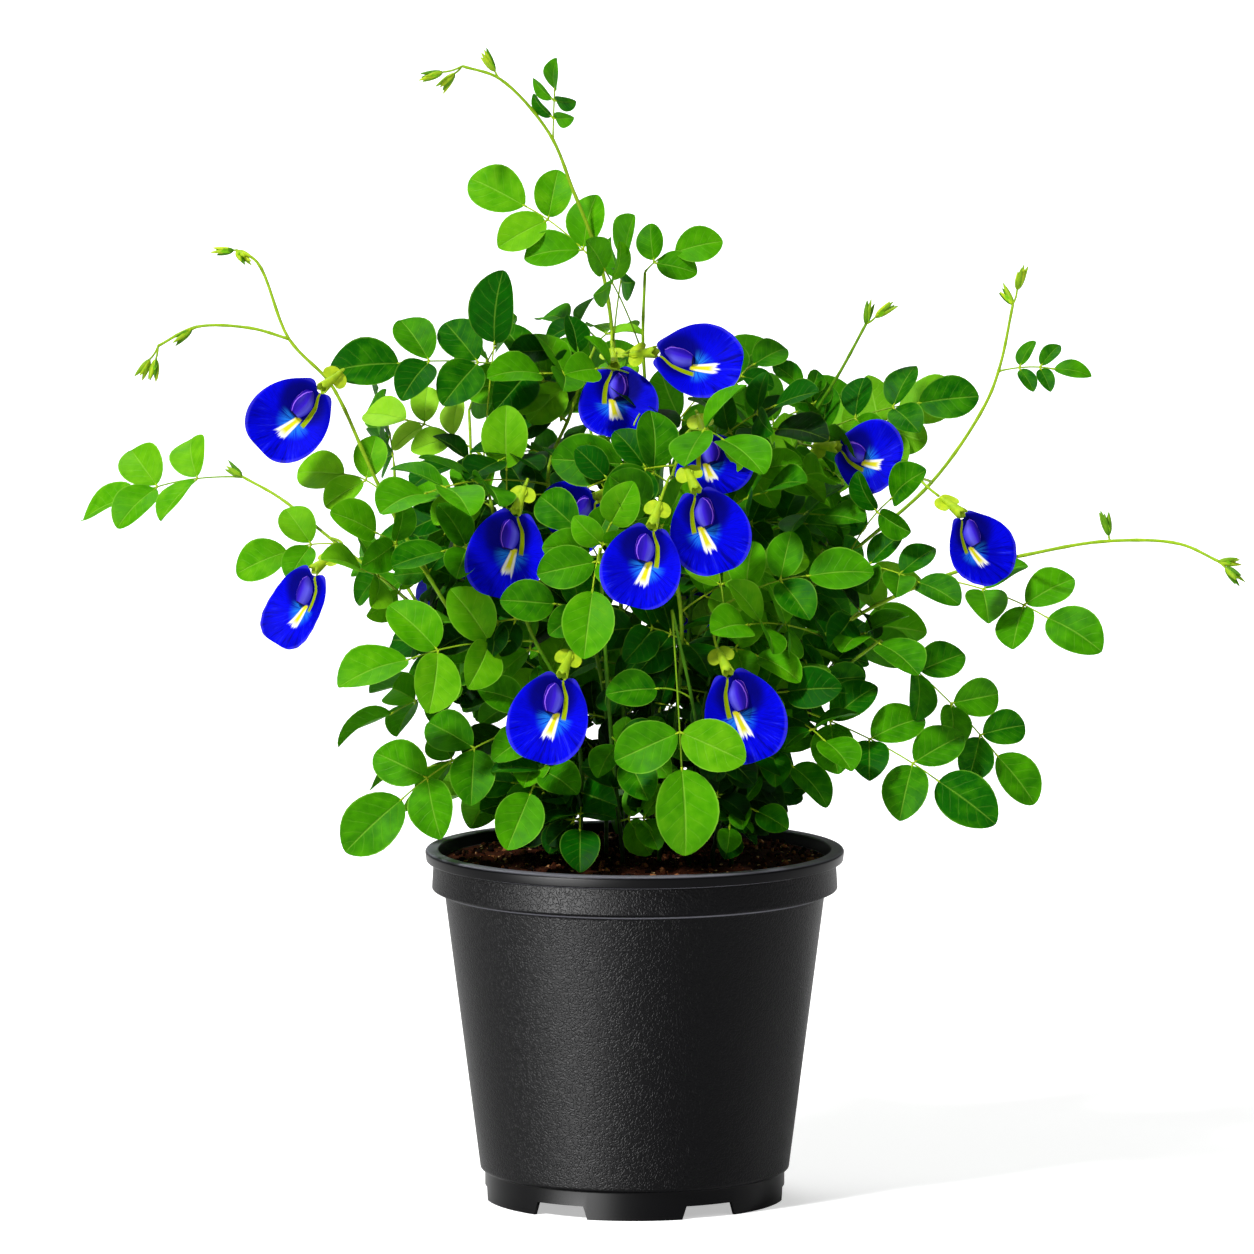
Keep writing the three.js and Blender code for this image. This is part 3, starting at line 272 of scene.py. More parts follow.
# Where the plant grows. Each stem stands in the soil at its foot (x, toward), or branches from a control
# point of another stem, and passes through its control points, as pixels of the photograph with their
# nearness in mm. A leaf grows from control point `at` to its tip, with `pairs` of side leaflets about `size`
# pixels long. Its tone says how bright it looks, from 0, dark, to 1, lime: its own green together with the
# light and shade painted on it.
stems = {
    "left_low": {
        "foot": (-40, -8),
        "path": [(560, 770, -5), (478, 668, -15), (399, 593, -40), (330, 538, -70),
                 (280, 498, -104), (243, 477, -128)],
        "leaves": [
            {"at": 5, "tip": (82, 519, -180), "tone": 0.32, "pairs": 2, "size": 74},
            {"at": 3, "tip": (236, 574, -60), "tone": 0.3, "pairs": 1, "size": 61},
            {"at": 2, "tip": (322, 558, 0), "pairs": 2, "size": 56},
            {"at": 1, "tip": (392, 640, -60), "pairs": 1, "size": 59},
        ],
        "buds": [(233, 470, -132)],
        "blooms": [
            {"at": 3, "hinge": (314, 570, -46), "tip": (272, 645, -44), "face": (-1.1, 0.1)},
        ],
    },
    "left_high": {
        "foot": (-37, 16),
        "path": [(540, 730, 25), (470, 640, 30), (423, 567, 28), (376, 480, 22),
                 (341, 402, 15), (327, 379, 12),
                 (289, 339, 5), (257, 262, -5), (236, 250, -8)],
        "leaves": [
            {"at": 3, "tip": (297, 472, 5), "tone": 0.3, "pairs": 1, "size": 59},
            {"at": 2, "tip": (330, 512, 60), "tone": 0.2, "pairs": 1, "size": 61},
        ],
        "buds": [(221, 251, -10), (243, 257, -2)],
        "blooms": [
            {"at": 5, "hinge": (322, 388, 30), "tip": (256, 450, 36), "face": (-0.1, 0.1)},
        ],
    },
    "left_shoot": {
        "from": "left_high",
        "at": 6,
        "path": [(250, 328, 2), (196, 327, 0), (158, 346, -5)],
        "buds": [(143, 370, -8), (154, 372, -2), (181, 336, 3)],
    },
    "upper_left": {
        "foot": (-14, 5),
        "path": [(605, 700, 6), (570, 560, 5), (548, 475, 0), (570, 415, -5),
                 (583, 376, -10), (598, 340, -15)],
        "leaves": [
            {"at": 4, "tip": (329, 371, 12), "tone": 0.06, "pairs": 3, "size": 73},
            {"at": 2, "tip": (380, 512, 62), "tone": 0.12, "pairs": 2, "size": 77},
            {"at": 3, "tip": (474, 392, -50), "tone": 0.1, "pairs": 2, "size": 51},
            {"at": 5, "tip": (542, 318, -60), "pairs": 1, "size": 51},
            {"at": 1, "tip": (512, 470, 40), "tone": 0.04, "pairs": 1, "size": 56},
            {"at": 5, "tip": (634, 330, -52), "pairs": 1, "size": 44},
        ],
    },
    "middle_left": {
        "foot": (-26, 27),
        "path": [(575, 720, 45), (530, 630, 52), (500, 540, 35), (481, 455, 0)],
        "leaves": [
            {"at": 1, "tip": (338, 687, 88), "tone": 0.26, "pairs": 2, "size": 79},
            {"at": 3, "tip": (364, 413, -42), "tone": 0.66, "pairs": 2, "size": 55},
            {"at": 0, "tip": (478, 690, 70), "tone": 0.16, "pairs": 1, "size": 54},
            {"at": 2, "tip": (392, 566, 62), "tone": 0.14, "pairs": 1, "size": 59},
            {"at": 3, "tip": (503, 270, 8), "tone": 0.08, "pairs": 0, "size": 76},
            {"at": 2, "tip": (506, 405, 18), "tone": 0.3, "pairs": 0, "size": 66},
        ],
        "blooms": [
            {"at": 2, "hinge": (516, 511, 64), "tip": (494, 600, 70), "face": (-0.2, 0.1)},
        ],
    },
    "top_shoot": {
        "foot": (-4, -15),
        "path": [(622, 640, -14), (616, 450, -12), (612, 330, -10), (600, 262, -8),
                 (573, 190, -5), (549, 133, -2),
                 (500, 79, 0), (462, 66, 0)],
        "leaves": [
            {"at": 3, "tip": (470, 178, -15), "tone": 0.36, "pairs": 2, "size": 69},
            {"at": 2, "tip": (633, 215, 22), "tone": 0.2, "pairs": 1, "size": 60},
            {"at": 5, "tip": (556, 67, 2), "tone": 0.16, "pairs": 2, "size": 30, "young": True},
        ],
        "buds": [(430, 76, 2), (446, 82, -4), (488, 60, 0)],
        "blooms": [
            {"at": 2, "hinge": (614, 366, 16), "tip": (622, 438, 34), "face": (0, 0.1)},
            {"at": 1, "hinge": (596, 498, 30), "tip": (550, 534, 26), "face": (-0.3, 0.2)},
        ],
    },
    "top_right": {
        "foot": (10, 6),
        "path": [(652, 620, 10), (650, 450, 8), (643, 345, 5), (645, 272, 2)],
        "leaves": [
            {"at": 3, "tip": (723, 241, 0), "tone": 0.22, "pairs": 1, "size": 61},
            {"at": 2, "tip": (586, 240, 40), "tone": 0.3, "pairs": 1, "size": 51},
        ],
        "blooms": [
            {"at": 2, "hinge": (655, 352, 30), "tip": (745, 366, 34), "face": (0.1, 0.6)},
        ],
    },
    "right_up": {
        "foot": (21, -8),
        "path": [(690, 620, -6), (700, 520, -8), (712, 440, -6), (735, 385, -12)],
        "leaves": [
            {"at": 2, "tip": (818, 391, 30), "tone": 0.1, "pairs": 2, "size": 56},
            {"at": 3, "tip": (786, 348, -32), "tone": 0.12, "pairs": 1, "size": 59},
            {"at": 1, "tip": (806, 482, 44), "tone": 0.16, "pairs": 2, "size": 60},
        ],
        "blooms": [
            {"at": 2, "hinge": (706, 436, 14), "tip": (722, 496, 22), "face": (0.2, 0)},
        ],
    },
    "middle_right": {
        "foot": (12, 25),
        "path": [(682, 640, 48), (672, 540, 56), (672, 478, 52), (690, 430, 46)],
        "leaves": [
            {"at": 3, "tip": (764, 474, 74), "tone": 0.3, "pairs": 1, "size": 72},
            {"at": 2, "tip": (551, 459, 48), "tone": 0.08, "pairs": 1, "size": 74},
            {"at": 1, "tip": (610, 476, 88), "tone": 0.22, "pairs": 1, "size": 67},
        ],
        "blooms": [
            {"at": 2, "hinge": (652, 526, 102), "tip": (630, 609, 108), "face": (-0.1, 0.1)},
            {"at": 3, "hinge": (696, 490, 84), "tip": (724, 575, 90), "face": (0.15, 0.1)},
        ],
    },
    "right_high": {
        "foot": (31, -21),
        "path": [(715, 640, -26), (765, 510, -32), (800, 437, -26), (840, 372, -20), (866, 324, -16)],
        "leaves": [
            {"at": 2, "tip": (979, 396, -20), "tone": 0.12, "pairs": 3, "size": 63},
            {"at": 1, "tip": (864, 522, 20), "tone": 0.12, "pairs": 1, "size": 59},
            {"at": 1, "tip": (848, 470, -70), "pairs": 1, "size": 54},
        ],
        "buds": [(886, 310, -14), (868, 312, -18)],
        "blooms": [
            {"at": 2, "hinge": (838, 447, 4), "tip": (902, 464, 8), "face": (0.3, 0.4)},
        ],
    },
    "right_shoot": {
        "foot": (43, -6),
        "path": [(745, 690, -6), (800, 600, 0), (855, 550, 5), (932, 482, 10),
                 (985, 405, 12), (1000, 366, 12),
                 (1013, 304, 10)],
        "leaves": [
            {"at": 5, "tip": (1081, 374, 16), "tone": 0.06, "pairs": 2, "size": 30, "young": True},
            {"at": 2, "tip": (926, 470, 34), "tone": 0.14, "pairs": 1, "size": 59},
            {"at": 2, "tip": (960, 604, 36), "tone": 0.1, "pairs": 2, "size": 55},
            {"at": 1, "tip": (860, 500, -50), "pairs": 1, "size": 56},
        ],
        "buds": [(1021, 277, 10), (1006, 296, 6)],
        "blooms": [
            {"at": 3, "hinge": (962, 514, 64), "tip": (1004, 582, 68), "face": (0.9, 0.1)},
        ],
    },
    "right_far": {
        "foot": (45, 14),
        "path": [(750, 700, 22), (850, 620, 24), (950, 574, 28), (1035, 553, 62),
                 (1110, 541, 112), (1180, 544, 151), (1220, 562, 173)],
        "leaves": [
            {"at": 2, "tip": (1102, 651, 70), "tone": 0.14, "pairs": 2, "size": 69},
            {"at": 1, "tip": (919, 674, 74), "tone": 0.2, "pairs": 1, "size": 67},
            {"at": 1, "tip": (711, 632, 98), "tone": 0.28, "pairs": 2, "size": 63},
        ],
        "buds": [(1234, 576, 179), (1232, 562, 173), (1106, 523, 108)],
    },
    "right_low": {
        "foot": (38, 32),
        "path": [(735, 770, 38), (805, 700, 42), (880, 640, 30)],
        "leaves": [
            {"at": 2, "tip": (1035, 804, 30), "tone": 0.1, "pairs": 3, "size": 64},
            {"at": 1, "tip": (996, 824, 66), "tone": 0.12, "pairs": 3, "size": 74},
            {"at": 1, "tip": (852, 770, 96), "tone": 0.16, "pairs": 1, "size": 59},
        ],
    },
    "near_right": {
        "foot": (25, 19),
        "path": [(705, 700, 52), (728, 603, 58)],
        "leaves": [
            {"at": 1, "tip": (874, 572, 84), "tone": 0.2, "pairs": 2, "size": 67},
            {"at": 0, "tip": (842, 688, 72), "tone": 0.1, "pairs": 2, "size": 60},
            {"at": 1, "tip": (708, 520, 30), "pairs": 1, "size": 54},
        ],
        "blooms": [
            {"at": 1, "hinge": (728, 672, 88), "tip": (762, 763, 94), "face": (0.1, 0.1)},
        ],
    },
    "front": {
        "foot": (26.5, 40),
        "path": [(703, 838, 46), (700, 752, 70), (690, 690, 86), (672, 610, 94)],
        "leaves": [
            {"at": 3, "tip": (686, 856, 102), "tone": 0.26, "pairs": 1, "size": 88},
            {"at": 2, "tip": (606, 694, 96), "tone": 0.2, "pairs": 0, "size": 74},
        ],
    },
    "left_foot": {
        "foot": (-29, 46),
        "path": [(580, 800, 52), (545, 755, 56), (505, 733, 48)],
        "leaves": [
            {"at": 2, "tip": (345, 852, 58), "tone": 0.2, "pairs": 2, "size": 79},
            {"at": 1, "tip": (507, 850, 84), "tone": 0.16, "pairs": 1, "size": 67},
            {"at": 0, "tip": (580, 872, 86), "tone": 0.04, "pairs": 1, "size": 56},
        ],
    },
    "right_foot": {
        "foot": (47, 40),
        "path": [(733, 800, 48), (762, 745, 50)],
        "leaves": [
            {"at": 1, "tip": (828, 807, 58), "tone": 0.12, "pairs": 1, "size": 59},
            {"at": 0, "tip": (788, 829, 64), "tone": 0.2, "pairs": 1, "size": 49},
            {"at": 0, "tip": (727, 853, 84), "tone": 0.14, "pairs": 1, "size": 46},
        ],
    },
    "centre": {
        "foot": (-6, 40),
        "path": [(610, 720, 64), (603, 610, 78), (600, 548, 80)],
        "leaves": [
            {"at": 2, "tip": (584, 659, 104), "tone": 0.2, "pairs": 1, "size": 73},
            {"at": 2, "tip": (634, 482, 92), "tone": 0.26, "pairs": 1, "size": 59},
            {"at": 0, "tip": (648, 800, 90), "tone": 0.12, "pairs": 1, "size": 64},
            {"at": 1, "tip": (500, 600, 92), "tone": 0.1, "pairs": 1, "size": 59},
            {"at": 2, "tip": (540, 496, 72), "tone": 0.2, "pairs": 1, "size": 58},
        ],
        "blooms": [
            {"at": 1, "hinge": (562, 675, 96), "tip": (534, 764, 102), "face": (-0.1, 0.1)},
        ],
    },
}

# Stems at the back and the sides, by rule: the directions that they lean in, and how they rise and spread
backStems = {
    "angles": [30, 62, 94, 126, 156, 80], "footRadii": [46, 46, 46, 46, 46, 27], "outerCount": 5,
    "heights": [40, 92, 142, 190], "innerRise": 1.04, "jitter": 16,
    "reach": [58, 92, 116, 128], "innerReach": [26, 44, 62, 78],
    "leafReach": 84, "leafReachLeast": 0.85, "leafReachDrop": 0.06, "leafReachSpread": 0.3,
    "leafTurn": 0.55, "leafTurnSpread": 0.5, "leafRise": -0.35, "leafRiseStep": 0.28, "leafRiseSpread": 0.25,
    "leafLength": 33, "hands": [[1], [-1, 1], [-1], [-1]],
    "bloomStems": [1, 3, 5], "bloomAt": 2, "bloomOut": 20, "bloomDown": 2, "bloomLean": 0.3, "bloomFace": 0.2,
}
plant = {
    "potTop": 173, "holeTop": 175, "holeBottom": 156.35, "stepsPerSpan": 2, "fineSteps": 8,
    "leafSpacing": 0.27, "droop": 0.15, "curl": 0.45, "halfWidth": 0.35, "youngHalfWidth": 0.25,
    "longest": 0.62, "sideLength": 0.74, "sideLengthSpread": 0.14, "lift": -0.14, "liftSpread": 0.4,
    "angle": math.radians(62), "angleSpread": math.radians(16), "twist": math.radians(40),
    "lastPair": 0.42, "pairSpacing": 0.7, "leastPetiole": 0.22,
    "viewer": 0.75, "up": 0.55, "outward": 0.35,
    "bends": [0, 8, -8, 16, -16, 25, -25, 36, -36, 50, -50], "match": 0.15,
    "petalHalfWidth": 19.5, "calyxGap": 0.35, "calyxLength": 14, "calyxBack": 0.6,
}


# One pinnate leaf: its rachis is a Bezier curve that arrives at the end leaflet from below, and its leaflets
# leave it in pairs at a steep angle, each turned a little by its own draw
def planLeaf(leaf, tip):
    base, face, serial = leaf["base"], leaf["face"], leaf["serial"]
    span = np.linalg.norm(tip - base)
    size = min(leaf["length"], plant["longest"] * span)
    way = unit(tip - base - up * plant["droop"] * span)
    root = tip - way * size
    stalk = np.linalg.norm(root - base)
    curve = (base, root - way * plant["curl"] * stalk, root)
    leaflets = []

    def add(t, direction, plane, scale):
        twist = (draw(serial, len(leaflets)) - 0.5) * plant["twist"]
        width = plant["youngHalfWidth"] if leaf["young"] else plant["halfWidth"]
        leaflets.append({"base": bend(*curve, t), "way": direction, "length": size * scale,
                         "normal": turnAbout(square(plane, direction), direction, twist),
                         "halfWidth": size * scale * width})
    add(1, way, face, 1)
    for pair in range(leaf["pairs"]):
        back = (plant["lastPair"] + plant["pairSpacing"] * pair) * size
        t = 1 - min(back / stalk, (1 - plant["leastPetiole"]) * (pair + 1) / leaf["pairs"])
        forward = unit(bend(*curve, t + 1e-4) - bend(*curve, t - 1e-4))
        plane = square(face, forward)
        side = np.cross(plane, forward)
        for hand in (-1, 1):
            k = len(leaflets)
            angle = plant["angle"] + (draw(serial, k + 10) - 0.5) * plant["angleSpread"]
            direction = forward * math.cos(angle) + side * hand * math.sin(angle)
            lift = plant["lift"] + plant["liftSpread"] * draw(serial, k + 20)
            scale = plant["sideLength"] + plant["sideLengthSpread"] * draw(serial, k + 30)
            add(t, unit(direction + plane * lift), plane, scale)
    return {"curve": curve, "leaflets": leaflets, "young": leaf["young"], "serial": serial}


# The bend of a leaf that its CAD node has: the one whose leaflet tips are corners of the node
def matchLeaf(leaf, corners):
    best = None
    for turn in plant["bends"]:
        planned = planLeaf(leaf, leaf["tipAt"](turn))
        tips = np.array([one["base"] + one["way"] * one["length"] for one in planned["leaflets"]])
        gaps = np.linalg.norm(corners[None] - tips[:, None], axis=2).min(1)
        planned["kept"] = [one for one, gap in zip(planned["leaflets"], gaps) if gap < plant["match"]]
        if best is None or len(planned["kept"]) > len(best["kept"]):
            best = planned
        if len(best["kept"]) == len(tips):
            break
    return best


def faceOf(point, viewer):
    outward = unit(point * [1, 1, 0])
    return up * plant["up"] + toViewer * viewer + outward * (plant["outward"] + plant["viewer"] - viewer)


# A stem's line as its solid has it, and the finer one that is shown. Out of the soil it rises straight.
def stemLines(start, controls, standing):
    lines = [smoothLine([start, *controls], plant[steps]) for steps in ("stepsPerSpan", "fineSteps")]
    if standing:
        bottom = [[start[0], start[1], plant["holeBottom"]]]
        lines = [np.concatenate([bottom, line]) for line in lines]
    return lines


def onLine(line, count, at, share):  # `share` of a step before control point `at`
    index = len(line) - 1 - (count - 1 - at) * plant["stepsPerSpan"]
    return line[index] + (line[index - 1] - line[index]) * share


def setBack(at, count, order):
    return plant["leafSpacing"] * (order + (0 if at == count - 1 else 1))


def seenStem(name):
    spec = stems[name]
    controls = [seen(place) for place in spec["path"]]
    isShoot = "from" in spec
    if isShoot:
        start = seen(stems[spec["from"]]["path"][spec["at"]])
    else:
        x, toward = spec["foot"]
        start = np.array([x, -toward, plant["holeTop"]])
    line, path = stemLines(start, controls, not isShoot)
    count = len(controls)
    leaves = []
    for i, leaf in enumerate(spec.get("leaves", [])):
        order = sum(other["at"] == leaf["at"] for other in spec["leaves"][:i])
        base = onLine(line, count, leaf["at"], setBack(leaf["at"], count, order))
        x, y, toward = leaf["tip"]
        leaves.append({"base": base, "face": faceOf(base, plant["viewer"]), "pairs": leaf["pairs"],
                       "young": leaf.get("young", False), "length": leaf["size"] * shot["mmPerPixel"],
                       "tone": leaf.get("tone"),
                       "tipAt": lambda turn, x=x, y=y, toward=toward: seen((x, y, toward + turn))})
    blooms = []
    for bloom in spec.get("blooms", []):
        sideways, upwards = bloom["face"]
        blooms.append({"start": onLine(line, count, bloom["at"], 0), "hinge": seen(bloom["hinge"]),
                       "tip": seen(bloom["tip"]), "face": np.array([sideways, -1.0, upwards])})
    return {"node": "stem_" + spec.get("from", name), "path": path, "controls": controls, "shoot": isShoot,
            "leaves": leaves, "blooms": blooms, "buds": [seen(place) for place in spec.get("buds", [])]}


def backStem(index):
    rule = backStems
    outer = index < rule["outerCount"]
    angle = math.radians(rule["angles"][index])
    outward = np.array([math.cos(angle), math.sin(angle), 0.0])
    sideways = np.array([-outward[1], outward[0], 0.0])

    def spread(k):
        return rule["jitter"] * (2 * draw(index, k) - 1)
    controls = []
    for j, height in enumerate(rule["heights"]):
        reach = rule["reach" if outer else "innerReach"][j]
        point = outward * (reach + spread(j)) + sideways * spread(j + 10)
        point[2] = plant["potTop"] + height * (1 if outer else rule["innerRise"]) + spread(j + 20)
        controls.append(point)
    start = outward * rule["footRadii"][index] + up * plant["holeTop"]
    line, path = stemLines(start, controls, True)
    leaves = []
    for j in range(len(controls)):
        for order, hand in enumerate(rule["hands"][j]):
            base = onLine(line, len(controls), j, setBack(j, len(controls), order))
            turned, risen, reached = (draw(index, 2 * j + hand + use) for use in (30, 50, 70))
            way = turnAbout(outward, up, hand * (rule["leafTurn"] + rule["leafTurnSpread"] * turned))
            way[2] = rule["leafRise"] + rule["leafRiseStep"] * j + rule["leafRiseSpread"] * risen
            share = rule["leafReachLeast"] + rule["leafReachSpread"] * reached
            share *= 1 - rule["leafReachDrop"] * j
            tip = base + unit(way) * rule["leafReach"] * share
            leaves.append({"base": base, "face": faceOf(base, 0), "pairs": 1 if j == 0 else 2, "young": False,
                           "length": rule["leafLength"], "tone": None,
                           "tipAt": lambda turn, tip=tip: tip + up * turn})
    start = controls[rule["bloomAt"]]
    hinge = start + outward * rule["bloomOut"] - up * rule["bloomDown"]
    fall = unit(outward * rule["bloomLean"] - up)
    bloom = {"start": start, "hinge": hinge, "tip": hinge + fall * 2 * plant["petalHalfWidth"],
             "face": outward + up * rule["bloomFace"]}
    return {"node": f"stem_back_{index + 1}", "path": path, "controls": controls, "shoot": False,
            "leaves": leaves, "blooms": [bloom] if index in rule["bloomStems"] else [], "buds": []}


everyStem = [seenStem(name) for name in stems] + [backStem(i) for i in range(len(backStems["angles"]))]
serial = 0
for stem in everyStem:
    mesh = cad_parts[stem["node"]].data
    corners = np.zeros(3 * len(mesh.vertices), np.float32)
    mesh.vertices.foreach_get("co", corners)
    corners = np.unique(corners.reshape(-1, 3).astype(float) / mm, axis=0)
    stem["grown"] = []
    for leaf in stem["leaves"]:
        serial += 1
        leaf["serial"] = serial
        grown = matchLeaf(leaf, corners)
        grown["tone"] = leaf["tone"]
        if grown["kept"]:
            stem["grown"].append(grown)
leafletCount = sum(len(grown["kept"]) for stem in everyStem for grown in stem["grown"])
print("leaves planned:", serial, "with", leafletCount, "leaflets")


# Materials, all procedural

def paint(red, green, blue):  # a colour as it looks on the screen, from 0 to 255, made linear
    return tuple((c / 255) ** 2.2 for c in (red, green, blue)) + (1.0,)


# A number, colour or direction that a node gives. + - * / and abs reckon with it, each by a Math node.
class Signal:
    def __init__(self, made, output=0):
        self.socket = made.outputs[output]

    def __add__(self, other):
        return calc("ADD", self, other)

    def __radd__(self, other):
        return calc("ADD", other, self)

    def __sub__(self, other):
        return calc("SUBTRACT", self, other)

    def __mul__(self, other):
        return calc("MULTIPLY", self, other)

    def __truediv__(self, other):
        return calc("DIVIDE", self, other)

    def __abs__(self):
        return calc("ABSOLUTE", self)


def treeOf(*values):  # the node tree of the first Signal among the values
    return next(value.socket.id_data for value in values if isinstance(value, Signal))


def setAll(made, values):  # links each input to its Signal, or gives it its plain value
    for key, value in values.items():
        if isinstance(value, Signal):
            made.id_data.links.new(value.socket, made.inputs[key])
        else:
            made.inputs[key].default_value = value


def node(tree, kind, inputs=None, **settings):
    made = tree.nodes.new("ShaderNode" + kind)
    for key, value in settings.items():
        setattr(made, key, value)
    setAll(made, inputs or {})
    return made


def calc(operation, a, b=0.0):
    return Signal(node(treeOf(a, b), "Math", {0: a, 1: b}, operation=operation))


def fade(value, low, high):  # 0 below low, 1 above high, smooth between
    return Signal(node(treeOf(value), "MapRange", {"Value": value, "From Min": low, "From Max": high},
                       interpolation_type="SMOOTHSTEP"))


def mix(share, a, b):
    return Signal(node(treeOf(share, a, b), "Mix", {0: share, 6: a, 7: b}, data_type="RGBA"), 2)


def ramp(share, stops):
    made = node(treeOf(share), "ValToRGB", {0: share})
    elements = made.color_ramp.elements
    while len(elements) < len(stops):
        elements.new(0.5)
    for element, (at, colour) in zip(elements, stops):
        element.position, element.color = at, colour
    return Signal(made)


def noise(vector, scale, detail=3.0, roughness=0.5):
    return Signal(node(treeOf(vector), "TexNoise",
                       {"Vector": vector, "Scale": scale, "Detail": detail, "Roughness": roughness}))


def newMaterial(name):
    material = bpy.data.materials.new(name)
    material.use_nodes = True
    return material, material.node_tree, material.node_tree.nodes["Principled BSDF"]


def coordinates(tree):  # the place in metres, then the three numbers of the piece's own coordinate
    own = Signal(node(tree, "Attribute", attribute_name="place"), "Vector")
    parts = node(tree, "SeparateXYZ", {0: own})
    return (Signal(node(tree, "TexCoord"), "Object"), *(Signal(parts, i) for i in range(3)))


def underside(tree):  # 1 on the lower face of a blade, 0 elsewhere
    return Signal(node(tree, "Attribute", attribute_name="under"), "Fac")


def bumped(shader, height, strength, distance):
    made = node(shader.id_data, "Bump", {"Height": height, "Strength": strength, "Distance": distance})
    setAll(shader, {"Normal": Signal(made)})
    return Signal(made)


def seenThrough(shader, colour, share, normal):  # light that shines through a thin blade
    tree = shader.id_data
    inner = node(tree, "BsdfTranslucent", {"Color": colour, "Normal": normal})
    both = node(tree, "MixShader", {0: share, 1: Signal(shader), 2: Signal(inner)})
    setAll(tree.nodes["Material Output"], {"Surface": Signal(both)})


leafPaint = {
    "dark": paint(2, 38, 0), "middle": paint(20, 96, 0), "fresh": paint(82, 166, 6),
    "bright": paint(134, 206, 30), "lime": paint(178, 230, 64), "vein": paint(160, 220, 70),
    "under": paint(66, 140, 20), "through": paint(170, 234, 0), "underShare": 0.45, "throughShare": 0.3,
    "veins": 6.5, "slant": 1.7, "wobbleScale": 90.0, "wobble": 0.5, "sideVein": 0.3,
    "mottleScale": 160.0, "mottle": 0.35, "rough": 0.4, "roughMore": 0.2, "bump": (0.45, 0.0007),
}


# A leaflet. Its own coordinate is (share s of its length, place a across from -1 to 1, how bright it is with
# its painted light and shade)
def makeLeafMaterial():
    look = leafPaint
    material, tree, shader = newMaterial("leaf_green")
    where, s, a, tone = coordinates(tree)
    reach = abs(a)
    # side veins: lines of s veins - |a| slant, a little wavy
    row = s * look["veins"] - reach * look["slant"] + noise(where, look["wobbleScale"]) * look["wobble"]
    sideVein = fade(abs(calc("FRACT", row) - 0.5), 0.09, 0.0) * fade(reach, 1.0, 0.5)
    midrib = fade(reach, 0.055, 0.015)
    veins = calc("MAXIMUM", sideVein * look["sideVein"], midrib)
    # edge: a pale line along the rim, a painted highlight
    edge = fade(reach, 0.93, 0.985)
    mottle = noise(where, look["mottleScale"], 4.0)
    green = ramp(tone + (mottle - 0.5) * look["mottle"], [
        (0.0, look["dark"]), (0.28, look["middle"]), (0.52, look["fresh"]), (0.76, look["bright"]),
        (1.0, look["lime"])])
    green = mix(underside(tree) * look["underShare"], green, look["under"])
    strength = 0.15 + tone * 0.6
    green = mix(veins * strength, green, look["vein"])
    green = mix(edge * strength, green, look["vein"])
    setAll(shader, {"Base Color": green, "Roughness": look["rough"] + mottle * look["roughMore"],
                    "Specular IOR Level": 0.06})
    normal = bumped(shader, veins * -1.0 + mottle * 0.6, *look["bump"])
    seenThrough(shader, mix(0.5, green, look["through"]), look["throughShare"], normal)
    return material


stemPaint = {
    "oldAndShaded": paint(26, 52, 8), "green": paint(74, 128, 16), "young": paint(146, 182, 36),
    "lime": paint(196, 214, 40), "grainScale": 300.0, "grain": 0.4, "bump": (0.3, 0.0004),
}


def makeStemMaterial():
    look = stemPaint
    material, tree, shader = newMaterial("stem_green")
    where, _, _, tone = coordinates(tree)
    grain = noise(where, look["grainScale"], 4.0)
    green = ramp(tone + (grain - 0.5) * look["grain"], [
        (0.0, look["oldAndShaded"]), (0.4, look["green"]), (0.75, look["young"]), (1.0, look["lime"])])
    setAll(shader, {"Base Color": green, "Roughness": 0.5, "Specular IOR Level": 0.12})
    bumped(shader, grain, *look["bump"])
    return material


petalPaint = {
    "deep": paint(0, 0, 148), "blue": paint(0, 10, 226), "bright": paint(44, 52, 252),
    "hoodShade": paint(4, 0, 92), "azure": paint(40, 138, 246), "white": paint(252, 252, 244),
    "yellow": paint(232, 226, 40), "green": paint(150, 172, 0), "under": paint(110, 110, 235),
    "edge": paint(96, 92, 250), "throat": (0.46, -0.12), "squeeze": 0.46, "rayTurn": 5.0, "rayRun": 1.4,
    "hoodAt": (0.27, 0.08), "hoodHalf": (0.26, 0.62), "bump": (0.3, 0.0008), "throughShare": 0.15,
}


